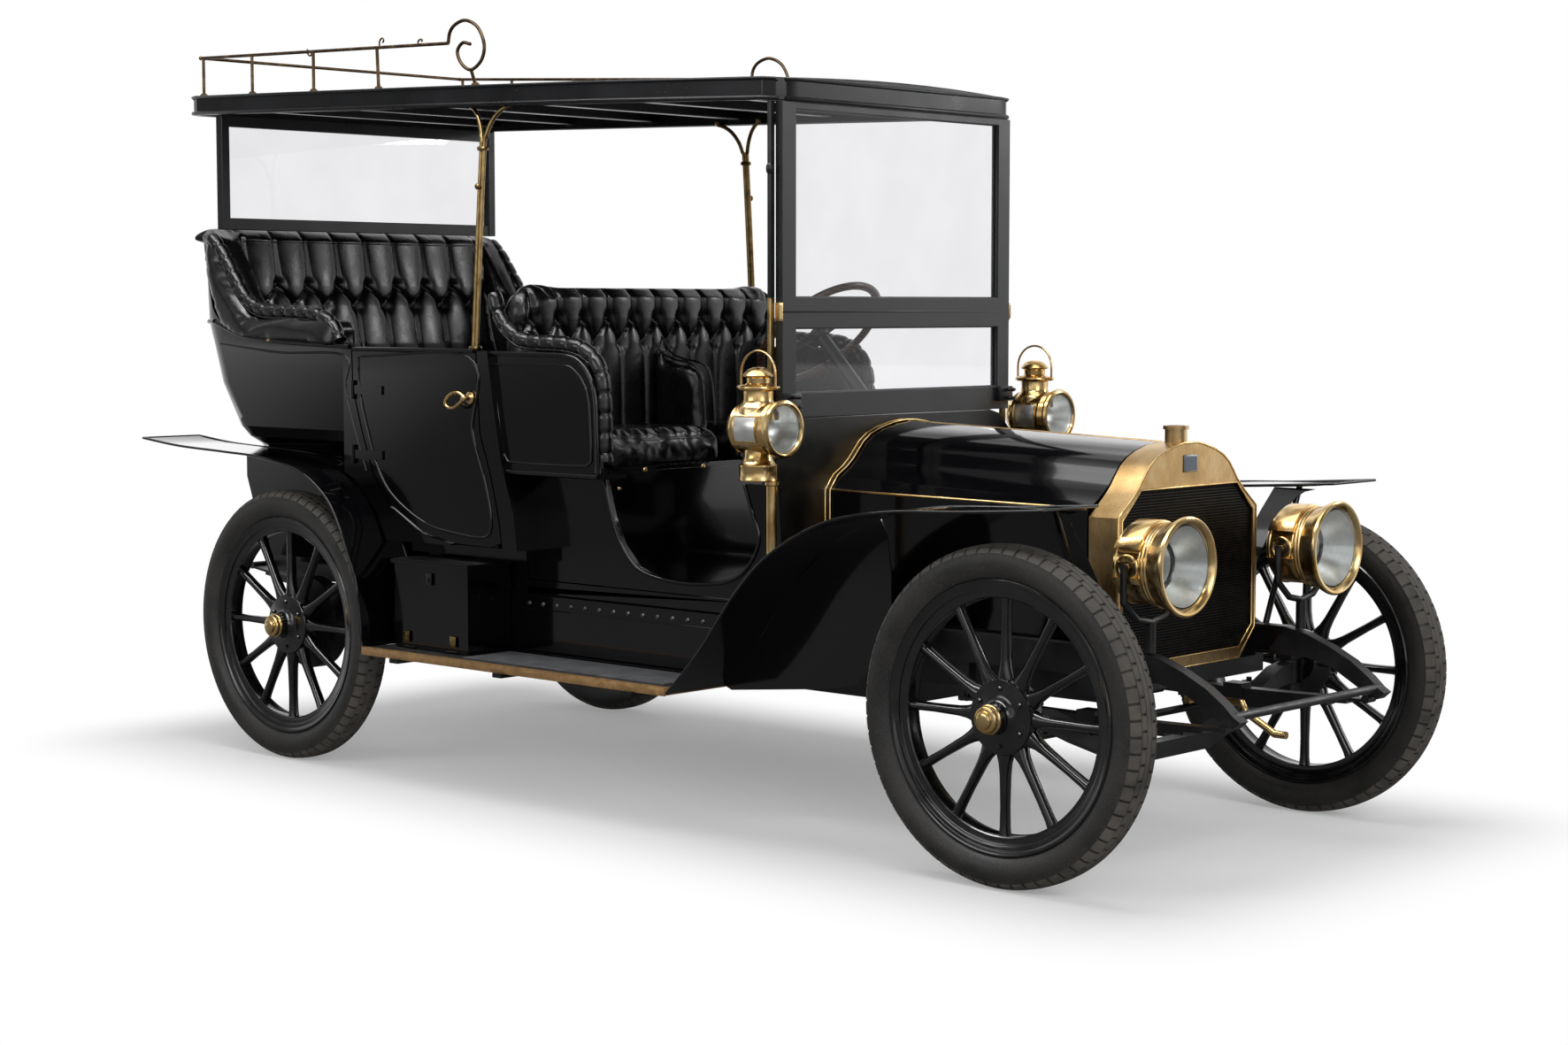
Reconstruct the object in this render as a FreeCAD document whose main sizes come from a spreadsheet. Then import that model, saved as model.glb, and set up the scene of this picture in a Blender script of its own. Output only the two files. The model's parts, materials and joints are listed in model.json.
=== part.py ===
"""Brass era open touring car with a canopy roof: millimetres, +X forward, +Y left, +Z up, ground at Z = 0."""
import FreeCAD
import Part
import Sketcher
import math
import os
import re

Vector = FreeCAD.Vector

os.makedirs("parts", exist_ok=True)
doc = FreeCAD.newDocument("TouringCar")

# ---------------------------------------------------------------------------------------------
# Driving sizes. "Ahead" values are counted forward from the front axle, so most are negative.
# ---------------------------------------------------------------------------------------------
SIZES = [
    # name, value
    ("FrontAxleX", 1592),
    ("Wheelbase", 2945),
    ("HalfTrack", 716.5),
    ("WheelRadius", 440),
    ("TyreFacets", 84),
    ("TyreHalfWidth", 57),
    ("RimRadius", 350),
    ("RimHalfWidth", 36),
    ("FelloeInner", 304),
    ("SpokeCount", 12),
    ("SpokeWidth", 25),
    ("SpokeDepth", 34),
    ("HubFlangeRadius", 98),
    ("HubBarrelRadius", 33),
    ("HubCapRadius", 39),
    ("HubCapOut", 102),
    ("AxleShaftRadius", 19),
    ("RunningFit", 0.06),
    ("KingPinInset", 98),
    ("RailHalfSpan", 355),
    ("RailTop", 590),
    ("RailDepth", 80),
    ("RailFlange", 40),
    ("RailPlate", 6),
    ("HornTipAhead", 476),
    ("FrontSpringEyeAhead", 421),
    ("FrontSpringWidth", 42),
    ("RearSpringInset", 275),
    ("BrakeDrumRadius", 150),
    ("RadiatorAhead", 67),
    ("RadiatorDepth", 95),
    ("RadiatorHalfWidth", 329),
    ("RadiatorCrest", 1111),
    ("RadiatorFoot", 502),
    ("FillerRadius", 30),
    ("FillerHeight", 62),
    ("BonnetRearAhead", -944),
    ("BonnetRearCrest", 1143),
    ("BonnetRearHalfWidth", 350),
    ("BonnetSkin", 3),
    ("BonnetHingeRadius", 4),
    ("HingeGap", 0.4),
    ("DashAhead", -950),
    ("DashThickness", 26),
    ("ScreenHalfWidth", 517),
    ("ScreenStile", 57),
    ("ScreenThickness", 28),
    ("ScreenFoot", 1162),
    ("GlassThickness", 5),
    ("RoofFrontAhead", -945),
    ("RoofRearAhead", -3625),
    ("RoofFrontHalfWidth", 536),
    ("RoofRearHalfWidth", 620),
    ("RoofFrontUnderside", 2048),
    ("RoofRearUnderside", 2128),
    ("RoofFascia", 64),
    ("RoofCrown", 14),
    ("RailRodRadius", 5.5),
    ("FloorThickness", 20),
    ("LowerBodyHalfWidth", 530),
    ("TubHalfWidth", 640),
    ("TubWall", 20),
    ("SeatBoardTop", 994),
    ("SeatClearance", 0.5),
    ("SeatPadGap", 4),
    ("SeatBackAhead", -1972),
    ("SeatBackThickness", 92.7),
    ("SeatBackTop", 1556),
    ("SeatHalfWidth", 598),
    ("SeatArmWidth", 52),
    ("SeatFrontAhead", -1640),
    ("SeatCushionTop", 1092),
    ("BoardHalfWidth", 800),
    ("BoardInner", 560),
    ("BoardTop", 410),
    ("BoardThickness", 20),
    ("MatThickness", 3),
    ("FenderInner", 566),
    ("FenderSkin", 4),
    ("ToolboxDepth", 175),
    ("ToolboxHeight", 270),
    ("FlapThickness", 6),
    ("FlapHingeRadius", 3),
    ("HeadlampInset", 364),
    ("HeadlampHeight", 815),
    ("HeadlampAhead", 313),
    ("HeadlampRadius", 130),
    ("SideLampInset", 632),
    ("SideLampHeight", 1139),
    ("SideLampAhead", -834),
    ("SideLampRadius", 82),
    ("SteeringWheelRadius", 200),
    ("SteeringRimRadius", 13),
    ("SteeringInset", 300),
]
sheet = doc.addObject("Spreadsheet::Sheet", "Sizes")
for row, (name, value) in enumerate(SIZES, start=1):
    sheet.set("A%d" % row, name)
    sheet.set("B%d" % row, str(value))
    sheet.setAlias("B%d" % row, name)
doc.recompute()
NAMES = {name for name, value in SIZES}
NODES = []


def linked(text):
    """An expression with each size's name pointed at the sheet."""
    return re.sub(r"[A-Za-z]+", lambda m: "Sizes." + m.group(0) if m.group(0) in NAMES else m.group(0), str(text))


def number(text):
    """The value of an expression of the sheet's names."""
    if isinstance(text, (int, float)):
        return float(text)
    return float(sheet.evalExpression(linked(text)))


def bind(obj, **fields):
    for field, text in fields.items():
        obj.setExpression(field.replace("_", "."), linked(text))


def place(obj, x="0", y="0", z="0"):
    bind(obj, Placement_Base_x=x, Placement_Base_y=y, Placement_Base_z=z)
    return obj


def node(obj, name):
    """Names a finished sub-part; it is exported under that name."""
    obj.Label = name
    NODES.append(obj)
    return obj


# ---------------------------------------------------------------------------------------------
# Part Design helpers
# ---------------------------------------------------------------------------------------------
def new_body(name):
    return doc.addObject("PartDesign::Body", name + "Body")


def origin_of(body, role):
    return [f for f in body.Origin.OriginFeatures if f.Role == role][0]


def sketch_on(body, plane, offset="0"):
    sketch = body.newObject("Sketcher::SketchObject", "Sketch")
    sketch.AttachmentSupport = [(origin_of(body, plane + "_Plane"), "")]
    sketch.MapMode = "FlatFace"
    bind(sketch, AttachmentOffset_Base_z=offset)
    return sketch


def pin_point(sketch, geo, end, a, b):
    """Fixes a sketch point at (a, b), each an expression of the sheet."""
    for kind, text in (("DistanceX", a), ("DistanceY", b)):
        k = sketch.addConstraint(Sketcher.Constraint(kind, geo, end, number(text)))
        if not isinstance(text, (int, float)):
            sketch.setExpression("Constraints[%d]" % k, linked(text))


def closed(sketch, points):
    """A closed outline of straight edges through the points."""
    first = sketch.GeometryCount
    count = len(points)
    spots = [Vector(number(a), number(b), 0) for a, b in points]
    for i in range(count):
        sketch.addGeometry(Part.LineSegment(spots[i], spots[(i + 1) % count]))
    for i in range(count):
        sketch.addConstraint(Sketcher.Constraint("Coincident", first + i, 2, first + (i + 1) % count, 1))
    for i, (a, b) in enumerate(points):
        pin_point(sketch, first + i, 1, a, b)
    return sketch


def circle(sketch, a, b, radius):
    geo = sketch.addGeometry(Part.Circle(Vector(number(a), number(b), 0), Vector(0, 0, 1), number(radius)))
    pin_point(sketch, geo, 3, a, b)
    k = sketch.addConstraint(Sketcher.Constraint("Radius", geo, number(radius)))
    if not isinstance(radius, (int, float)):
        sketch.setExpression("Constraints[%d]" % k, linked(radius))
    return sketch


def feature(body, kind, sketch, **fields):
    made = body.newObject("PartDesign::" + kind, kind)
    made.Profile = sketch
    bind(made, **fields)
    return made


def pad(body, plane, points, low, high):
    """Pads an outline between two stations along the plane's axis (XY: Z, YZ: X, XZ: Y)."""
    start = "-(%s)" % high if plane == "XZ" else low
    sketch = closed(sketch_on(body, plane, start), points)
    return feature(body, "Pad", sketch, Length="(%s) - (%s)" % (high, low))


def pocket(body, plane, points, low, high):
    """Cuts an outline away between two stations along the plane's axis."""
    start = "-(%s)" % low if plane == "XZ" else high
    sketch = closed(sketch_on(body, plane, start), points)
    return feature(body, "Pocket", sketch, Length="(%s) - (%s)" % (high, low))


def turned(body, plane, points, axis="V_Axis"):
    sketch = closed(sketch_on(body, plane), points)
    made = body.newObject("PartDesign::Revolution", "Revolution")
    made.Profile = sketch
    made.ReferenceAxis = (sketch, [axis])
    made.Angle = 360
    return made


def rect(a0, a1, b0, b1):
    return [(a0, b0), (a1, b0), (a1, b1), (a0, b1)]


# ---------------------------------------------------------------------------------------------
# Part helpers
# ---------------------------------------------------------------------------------------------
def box(x0, x1, y0, y1, z0, z1):
    made = doc.addObject("Part::Box", "Block")
    bind(made, Length="(%s) - (%s)" % (x1, x0), Width="(%s) - (%s)" % (y1, y0), Height="(%s) - (%s)" % (z1, z0))
    return place(made, x0, y0, z0)


AXES = {"X": (Vector(0, 1, 0), 90), "Y": (Vector(1, 0, 0), -90), "Z": (Vector(0, 0, 1), 0)}


def rod(axis, low, high, a, b, radius):
    """A cylinder along X, Y or Z between two stations; (a, b) are its other two coordinates in X, Y, Z order."""
    made = doc.addObject("Part::Cylinder", "Rod")
    made.Placement.Rotation = FreeCAD.Rotation(*AXES[axis])
    bind(made, Radius=radius, Height="(%s) - (%s)" % (high, low))
    spot = {"X": (low, a, b), "Y": (a, low, b), "Z": (a, b, low)}[axis]
    return place(made, *spot)


def fused(objects):
    made = doc.addObject("Part::MultiFuse", "Joined")
    made.Shapes = objects
    return made


def cut(base, tool):
    made = doc.addObject("Part::Cut", "Cut")
    made.Base = base
    made.Tool = tool
    return made


def group(objects):
    made = doc.addObject("Part::Compound", "Pair")
    made.Links = objects
    return made


def mirrored(obj):
    """The same piece on the car's other side."""
    made = doc.addObject("Part::Mirroring", "Mirrored")
    made.Source = obj
    made.Normal = Vector(0, 1, 0)
    made.Base = Vector(0, 0, 0)
    return made


def both_sides(obj):
    return group([obj, mirrored(obj)])


def shaped(shape, name="Shaped"):
    made = doc.addObject("Part::Feature", name)
    made.Shape = shape
    return made


def bar(p, q, radius):
    """A round bar between two points."""
    p = Vector(*p)
    q = Vector(*q)
    return Part.makeCylinder(radius, (q - p).Length, p, q - p)


def bars(points, radius):
    """Round bars through a run of points, with a ball at each bend."""
    solids = [bar(p, q, radius) for p, q in zip(points, points[1:])]
    balls = [Part.makeSphere(radius, Vector(*p)) for p in points[1:-1]]
    return solids[0].multiFuse(solids[1:] + balls) if len(points) > 2 else solids[0]


def spline(points):
    curve = Part.BSplineCurve()
    curve.interpolate([Vector(*p) for p in points])
    return curve.toShape()


def outward(solid):
    """The same solid with its faces pointing out, as a fuse or a cut needs them."""
    return solid if solid.Volume > 0 else solid.reversed()


def side_strip(points, thickness, y0, y1):
    """A sheet bent along a curve in the side view (x, z), from y0 to y1, lying under the curve."""
    count = len(points)
    under = []
    for i, (x, z) in enumerate(points):
        a = points[max(i - 1, 0)]
        b = points[min(i + 1, count - 1)]
        run = Vector(b[0] - a[0], 0, b[1] - a[1]).normalize()
        normal = Vector(run.z, 0, -run.x)
        normal = normal if normal.z < 0 or abs(normal.z) < 1e-6 else -normal
        under.append(Vector(x, y0, z) + normal * thickness)
    top = spline([(x, y0, z) for x, z in points])
    low = spline([tuple(p) for p in under])
    ends = [Part.makeLine(top.Vertexes[0].Point, low.Vertexes[0].Point),
            Part.makeLine(top.Vertexes[-1].Point, low.Vertexes[-1].Point)]
    face = Part.Face(Part.Wire(Part.sortEdges([top, low] + ends)[0]))
    return outward(face.extrude(Vector(0, y1 - y0, 0)))


def side_plate(points, y0, y1):
    """A flat plate with a straight-edged outline in the side view, from y0 to y1."""
    wire = Part.makePolygon([Vector(x, y0, z) for x, z in points] + [Vector(points[0][0], y0, points[0][1])])
    return outward(Part.Face(wire).extrude(Vector(0, y1 - y0, 0)))


def rounded_face(points, to_space):
    """A face with straight runs joined by arcs; points are (a, b, corner radius), placed by to_space(a, b)."""
    spots = [Vector(a, b, 0) for a, b, radius in points]
    corners = []
    for i, (a, b, radius) in enumerate(points):
        here = spots[i]
        if radius == 0:
            corners.append((here, here, here))
            continue
        back = (spots[i - 1] - here).normalize()
        onward = (spots[(i + 1) % len(spots)] - here).normalize()
        half = back.getAngle(onward) / 2
        middle = (back + onward).normalize()
        centre = here + middle * (radius / math.sin(half))
        reach = radius / math.tan(half)
        corners.append((here + back * reach, centre - middle * radius, here + onward * reach))
    edges = []
    for i, corner in enumerate(corners):
        enter, crown, leave = [to_space(p.x, p.y) for p in corner]
        following = to_space(*list(corners[(i + 1) % len(corners)][0])[:2])
        if points[i][2]:
            edges.append(Part.Arc(enter, crown, leave).toShape())
        if (following - leave).Length > 1e-6:
            edges.append(Part.makeLine(leave, following))
    return Part.Face(Part.Wire(edges))


def side_panel(points, y0, y1):
    """A panel with a rounded outline in the side view, from y0 to y1."""
    return outward(rounded_face(points, lambda a, b: Vector(a, y0, b)).extrude(Vector(0, y1 - y0, 0)))


def cross_panel(points, x0, x1):
    """A panel with a rounded outline across the car, from x0 to x1."""
    return outward(rounded_face(points, lambda a, b: Vector(x0, a, b)).extrude(Vector(x1 - x0, 0, 0)))


def loft(sections):
    """A straight-ruled solid through polygons, each a list of points."""
    wires = [Part.makePolygon([Vector(*p) for p in s] + [Vector(*s[0])]) for s in sections]
    return outward(Part.makeLoft(wires, True, True))


def flipped(shape):
    return shape.mirror(Vector(0, 0, 0), Vector(0, 1, 0))


def facet_ring(profile, sides):
    """A ring of flat facets about the Y axis, from a closed profile of (radius, across) points."""
    faces = []
    turn = 2 * math.pi / sides
    for k in range(sides):
        first = Vector(math.cos(k * turn), 0, math.sin(k * turn))
        second = Vector(math.cos((k + 1) * turn), 0, math.sin((k + 1) * turn))
        for (r0, across0), (r1, across1) in zip(profile, profile[1:] + profile[:1]):
            low, high = Vector(0, across0, 0), Vector(0, across1, 0)
            corners = [first * r0 + low, first * r1 + high, second * r1 + high, second * r0 + low]
            faces.append(Part.Face(Part.makePolygon(corners + corners[:1])))
    shell = Part.makeShell(faces)
    shell.sewShape()
    return outward(Part.makeSolid(shell))


FX = number("FrontAxleX")
RX = number("FrontAxleX - Wheelbase")
AXLE_Z = number("WheelRadius")


def at(points):
    """Side-view points given ahead of the front axle, moved to the car's own frame."""
    return [(FX + x, z) for x, z in points]


# ---------------------------------------------------------------------------------------------
# Wheels and tyres: wooden artillery wheels on steel rims with beaded-edge tyres
# ---------------------------------------------------------------------------------------------
def wheel(name, x, y, side):
    """side is 1 for the left of the car and -1 for the right; the hub cap faces outward."""
    out = "%d * " % side
    body = new_body(name)
    turned(body, "XY", [
        ("FelloeInner", out + "24"), ("FelloeInner + 28", out + "26"), ("FelloeInner + 34", out + "RimHalfWidth"),
        ("RimRadius - 6", out + "RimHalfWidth"), ("RimRadius - 6", out + "(-RimHalfWidth)"),
        ("FelloeInner + 34", out + "(-RimHalfWidth)"), ("FelloeInner + 28", out + "(-26)"),
        ("FelloeInner", out + "(-24)")])
    turned(body, "XY", [
        ("AxleShaftRadius + RunningFit", out + "(-40)"), ("HubFlangeRadius - 8", out + "(-30)"),
        ("HubFlangeRadius", out + "(-22)"), ("HubFlangeRadius", out + "22"), ("HubFlangeRadius - 6", out + "28"),
        ("HubBarrelRadius + 22", out + "34"), ("HubBarrelRadius + 4", out + "48"), ("HubBarrelRadius", out + "58"),
        ("HubBarrelRadius", out + "70"), ("HubCapRadius", out + "70"), ("HubCapRadius", out + "78"),
        ("HubCapRadius - 4", out + "79"), ("HubCapRadius - 4", out + "90"), ("HubCapRadius - 9", out + "94"),
        ("HubCapRadius - 11", out + "HubCapOut"), ("0", out + "HubCapOut"), ("0", out + "66"),
        ("AxleShaftRadius + RunningFit", out + "66")])
    sketch = sketch_on(body, "YZ", "HubFlangeRadius - 12")
    closed(sketch, [
        ("-SpokeDepth / 2", "-SpokeWidth / 4"), ("-SpokeDepth / 4", "-SpokeWidth / 2"),
        ("SpokeDepth / 4", "-SpokeWidth / 2"), ("SpokeDepth / 2", "-SpokeWidth / 4"),
        ("SpokeDepth / 2", "SpokeWidth / 4"), ("SpokeDepth / 4", "SpokeWidth / 2"),
        ("-SpokeDepth / 4", "SpokeWidth / 2"), ("-SpokeDepth / 2", "SpokeWidth / 4")])
    spoke = feature(body, "Pad", sketch, Length="FelloeInner - HubFlangeRadius + 24")
    pattern = body.newObject("PartDesign::PolarPattern", "Spokes")
    pattern.Originals = [spoke]
    pattern.Axis = (origin_of(body, "Y_Axis"), [""])
    pattern.Angle = 360
    bind(pattern, Occurrences="SpokeCount")
    body.Tip = pattern
    node(place(body, x, y, "WheelRadius"), name)


def tyre(name, x, y):
    """A faceted ring, so that four tyres stay light; its bore just clears the rim's seat."""
    sides = int(number("TyreFacets"))
    seat = number("RimRadius - 6") / math.cos(math.pi / sides) + 0.05
    half = [
        # radius, half width
        (seat, number("RimHalfWidth + 2")),
        (number("RimRadius + 40"), number("TyreHalfWidth")),
        (number("WheelRadius - 14"), number("TyreHalfWidth - 10")),
        (number("WheelRadius"), number("TyreHalfWidth - 36")),
    ]
    ring = shaped(facet_ring(half + [(r, -w) for r, w in reversed(half)], sides), "Tyre")
    node(place(ring, x, y, "WheelRadius"), name)


WHEELS = [
    # name, station, across, side
    ("front_right", "FrontAxleX", "-HalfTrack", -1),
    ("front_left", "FrontAxleX", "HalfTrack", 1),
    ("rear_right", "FrontAxleX - Wheelbase", "-HalfTrack", -1),
    ("rear_left", "FrontAxleX - Wheelbase", "HalfTrack", 1),
]
for name, x, y, side in WHEELS:
    wheel("wheel_" + name, x, y, side)
    tyre("tyre_" + name, x, y)

# ---------------------------------------------------------------------------------------------
# Chassis: channel side rails with drooping front horns, cross members
# ---------------------------------------------------------------------------------------------
rail_top = [(-3520, "RailTop + 26"), (-3000, "RailTop + 26"), (-2900, "RailTop"), (160, "RailTop"),
            (232, "RailTop - 17"), (302, "RailTop - 44"), (372, "RailTop - 79"), (427, "RailTop - 118"),
            (455, "RailTop - 144"), ("HornTipAhead", "RailTop - 157")]
rail_low = [("HornTipAhead - 22", "RailTop - 176"), (414, "RailTop - 160"), (373, "RailTop - 136"),
            (317, "RailTop - 104"), (233, "RailTop - 81"), (105, "RailTop - RailDepth"),
            (-2900, "RailTop - RailDepth"), (-3000, "RailTop - RailDepth + 26"), (-3520, "RailTop - RailDepth + 26")]
rail_top = [("FrontAxleX + " + str(x), z) for x, z in rail_top]
rail_low = [("FrontAxleX + " + str(x), z) for x, z in rail_low]


def strip(points, drop):
    return points + [(x, "%s - %d" % (z, drop)) for x, z in reversed(points)]


rail = new_body("SideRail")
pad(rail, "XZ", rail_top + rail_low, "-RailHalfSpan - RailFlange / 2", "-RailHalfSpan - RailFlange / 2 + RailPlate")
pad(rail, "XZ", strip(rail_top[:5], 6), "-RailHalfSpan - RailFlange / 2", "-RailHalfSpan + RailFlange / 2")
pad(rail, "XZ", strip(rail_low[4:], -6), "-RailHalfSpan - RailFlange / 2", "-RailHalfSpan + RailFlange / 2")
pad(rail, "XZ", rail_top[3:] + rail_low[:6], "-RailHalfSpan - RailFlange / 2", "-RailHalfSpan + RailFlange / 2")
CROSS_MEMBERS = [
    # ahead of the front axle: front face, back face, underside
    (-1560, -1620, 515),
    (-1900, -1960, 515),
    (-2440, -2500, 515),
    (-3440, -3500, 545),
]
members = [box("FrontAxleX - 30", "FrontAxleX + 70", "-RailHalfSpan - 18", "RailHalfSpan + 18", 455,
               "RadiatorFoot - 0.3")]
LUGS = [
    # the front cross member's lugs on the rails: low side, high side
    ("RailHalfSpan - 24", "RailHalfSpan + 18"),
    ("-RailHalfSpan - 18", "-RailHalfSpan + 24"),
]
for low, high in LUGS:
    members.append(box("FrontAxleX - 30", "FrontAxleX + 70", low, high, 455, "RailTop - RailDepth + 3"))
members += [box("FrontAxleX + %d" % back, "FrontAxleX + %d" % front, "-RailHalfSpan - RailFlange / 2 + 2",
               "RailHalfSpan + RailFlange / 2 - 2", low, low + 45) for front, back, low in CROSS_MEMBERS]
horn_tube = rod("Y", "-RailHalfSpan", "RailHalfSpan", "FrontAxleX + FrontSpringEyeAhead + 22",
                "RailTop - 148", 12)
node(fused([rail, mirrored(rail), horn_tube] + members), "chassis_frame")

# ---------------------------------------------------------------------------------------------
# Front axle beam with king pin bosses, steered knuckles, track rod
# ---------------------------------------------------------------------------------------------
beam = new_body("Beam")
half_beam = [(0, 250), (180, 252), (300, 290), (420, 334), (540, 384), ("HalfTrack - KingPinInset", 392),
             ("HalfTrack - KingPinInset", 452), (540, 440), (420, 386), (384, 354), (316, 354), (300, 345),
             (180, 298), (0, 296)]
other = [("-(%s)" % y, z) for y, z in half_beam[::-1][1:-1]]
pad(beam, "YZ", half_beam[1:-1] + other, "FrontAxleX - 24", "FrontAxleX + 24")
boss_y = "HalfTrack - KingPinInset"
bosses = [rod("Z", 388, 456, "FrontAxleX", "%s(%s)" % (sign, boss_y), 27) for sign in ("", "-")]
pins = [rod("Z", 456, 500, "FrontAxleX", "%s(%s)" % (sign, boss_y), 11) for sign in ("", "-")]
pins += [rod("Z", 350, 388, "FrontAxleX", "%s(%s)" % (sign, boss_y), 11) for sign in ("", "-")]
node(fused([beam] + bosses + pins), "front_axle")


def knuckle(name, side):
    """A forked stub axle turning on the king pin, with its steering arm pointing back."""
    pin = "%d * (HalfTrack - KingPinInset)" % side
    stub_lo, stub_hi = ("HalfTrack - KingPinInset + 34", "HalfTrack + 62")
    if side < 0:
        stub_lo, stub_hi = "-(%s)" % stub_hi, "-(%s)" % stub_lo
    lug_lo, lug_hi = ("%s - 26" % pin, "%s + 36" % pin) if side > 0 else ("%s - 36" % pin, "%s + 26" % pin)
    bridge_lo, bridge_hi = ("%s + 28.5" % pin, "%s + 40" % pin)
    if side < 0:
        bridge_lo, bridge_hi = "%s - 40" % pin, "%s - 28.5" % pin
    pieces = [box("FrontAxleX - 26", "FrontAxleX + 26", lug_lo, lug_hi, 457, 482),
              box("FrontAxleX - 26", "FrontAxleX + 26", lug_lo, lug_hi, 362, 387),
              box("FrontAxleX - 26", "FrontAxleX + 26", bridge_lo, bridge_hi, 362, 482),
              rod("Y", stub_lo, stub_hi, "FrontAxleX", "WheelRadius", "AxleShaftRadius"),
              box("FrontAxleX - 150", "FrontAxleX - 20", "%s - 12" % pin, "%s + 12" % pin, 364, 382)]
    bores = [rod("Z", 340, 520, "FrontAxleX", pin, "11 + RunningFit"),
             rod("Z", 340, 520, "FrontAxleX - 132", pin, "8 + RunningFit")]
    node(cut(fused(pieces), fused(bores)), name)


knuckle("knuckle_right", -1)
knuckle("knuckle_left", 1)
track = [rod("Y", "-(%s)" % boss_y, boss_y, "FrontAxleX - 132", 337, 11)]
for sign in ("", "-"):
    track += [rod("Z", 322, 363, "FrontAxleX - 132", "%s(%s)" % (sign, boss_y), 15),
              rod("Z", 362, 392, "FrontAxleX - 132", "%s(%s)" % (sign, boss_y), 8)]
node(fused(track), "tie_rod")

# ---------------------------------------------------------------------------------------------
# Rear axle: tubes, differential, drums, torque tube
# ---------------------------------------------------------------------------------------------
rear_x = "FrontAxleX - Wheelbase"
rear_parts = [rod("Y", "-HalfTrack + 60", "HalfTrack - 60", rear_x, "WheelRadius", 38),
              rod("Y", "-HalfTrack - 62", "HalfTrack + 62", rear_x, "WheelRadius", "AxleShaftRadius"),
              rod("X", rear_x, "FrontAxleX - 1640", 0, "WheelRadius", 30)]
DRUMS = [
    # across the axle: low side, high side
    ("HalfTrack - 112", "HalfTrack - 62"),
    ("-(HalfTrack - 62)", "-(HalfTrack - 112)"),
]
for low, high in DRUMS:
    rear_parts.append(rod("Y", low, high, rear_x, "WheelRadius", "BrakeDrumRadius"))
case = doc.addObject("Part::Sphere", "Case")
case.Radius = 128
place(case, rear_x, 0, "WheelRadius")
node(fused(rear_parts + [case]), "rear_axle")

# ---------------------------------------------------------------------------------------------
# Leaf springs: stepped packs seen from the side, clamped to the axles
# ---------------------------------------------------------------------------------------------
def leaf_pack(centre, seat, y, width, half, rise, leaves, thick, up):
    """Leaves stacked at the axle seat; the longest ends in rolled eyes. up is 1 when shorter leaves lie below."""
    solids = []
    for i in range(leaves):
        reach = half * (1 - 0.14 * i)
        order = leaves - 1 - i if up > 0 else i
        base = seat + order * thick
        points = []
        for k in range(9):
            t = -1 + k / 4
            points.append((centre + reach * t, base + rise * (t * reach / half) ** 2 + thick * 0.98))
        solids.append(side_strip(points, thick * 0.98, y - width / 2, y + width / 2))
    top = seat + (leaves - 1 if up > 0 else 0) * thick + rise + thick / 2
    for end in (-1, 1):
        eye = Part.makeCylinder(12, width, Vector(centre + end * half, y - width / 2, top + 4), Vector(0, 1, 0))
        solids.append(eye)
    clamp = Part.makeBox(60, width + 10, leaves * thick + 12,
                         Vector(centre - 30, y - width / 2 - 5, seat))
    return solids[0].multiFuse(solids[1:] + [clamp])


LEAF = 8.5
FRONT_SEAT, FRONT_RISE, FRONT_LEAVES = 354.3, 7, 6
REAR_SEAT, REAR_RISE, REAR_LEAVES = AXLE_Z + 38.3, 40, 7
REAR_SPRING_WIDTH, REAR_SPRING_HALF, EYE_RADIUS = 46, 560, 12
front_pack = leaf_pack(FX, FRONT_SEAT, number("RailHalfSpan") - 5, number("FrontSpringWidth"),
                       number("FrontSpringEyeAhead"), FRONT_RISE, FRONT_LEAVES, LEAF, 1)
hanger = side_plate(at([(-436, 400), (-404, 400), (-398, 509.7), (-442, 509.7)]), 334, 366)
front_pack = front_pack.fuse(hanger)

rear_y = number("HalfTrack - RearSpringInset")
rear_pack = leaf_pack(RX, REAR_SEAT, rear_y, REAR_SPRING_WIDTH, REAR_SPRING_HALF, REAR_RISE, REAR_LEAVES, LEAF, 1)
rail_face = number("RailHalfSpan + RailFlange / 2 + 0.3")
eye_z = REAR_SEAT + (REAR_LEAVES - 1) * LEAF + REAR_RISE + LEAF - 0.25
for end in (-1, 1):
    lug = Part.makeCylinder(EYE_RADIUS, rear_y + 20 - rail_face,
                            Vector(RX + end * REAR_SPRING_HALF, rail_face, eye_z), Vector(0, 1, 0))
    rear_pack = rear_pack.fuse(lug)
node(group([both_sides(shaped(front_pack)), both_sides(shaped(rear_pack))]), "leaf_springs")

# ---------------------------------------------------------------------------------------------
# Engine and gearbox as plain blocks at their real place
# ---------------------------------------------------------------------------------------------
engine = [box("FrontAxleX - 800", "FrontAxleX - 110", -170, 170, 640, 1000),
          box("FrontAxleX - 800", "FrontAxleX - 110", -150, 150, 400, 660),
          box("FrontAxleX - 1500", "FrontAxleX - 780", -140, 140, 330, 580),
          rod("X", "FrontAxleX - 1639.7", "FrontAxleX - 1480", 0, "WheelRadius", 46),
          box("FrontAxleX - 240", "FrontAxleX - 180", "-RailHalfSpan + RailFlange / 2 + 0.5",
              "RailHalfSpan - RailFlange / 2 - 0.5", 530, 575),
          box("FrontAxleX - 760", "FrontAxleX - 700", "-RailHalfSpan + RailFlange / 2 + 0.5",
              "RailHalfSpan - RailFlange / 2 - 0.5", 530, 575)]
node(fused(engine), "engine_block")

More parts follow.
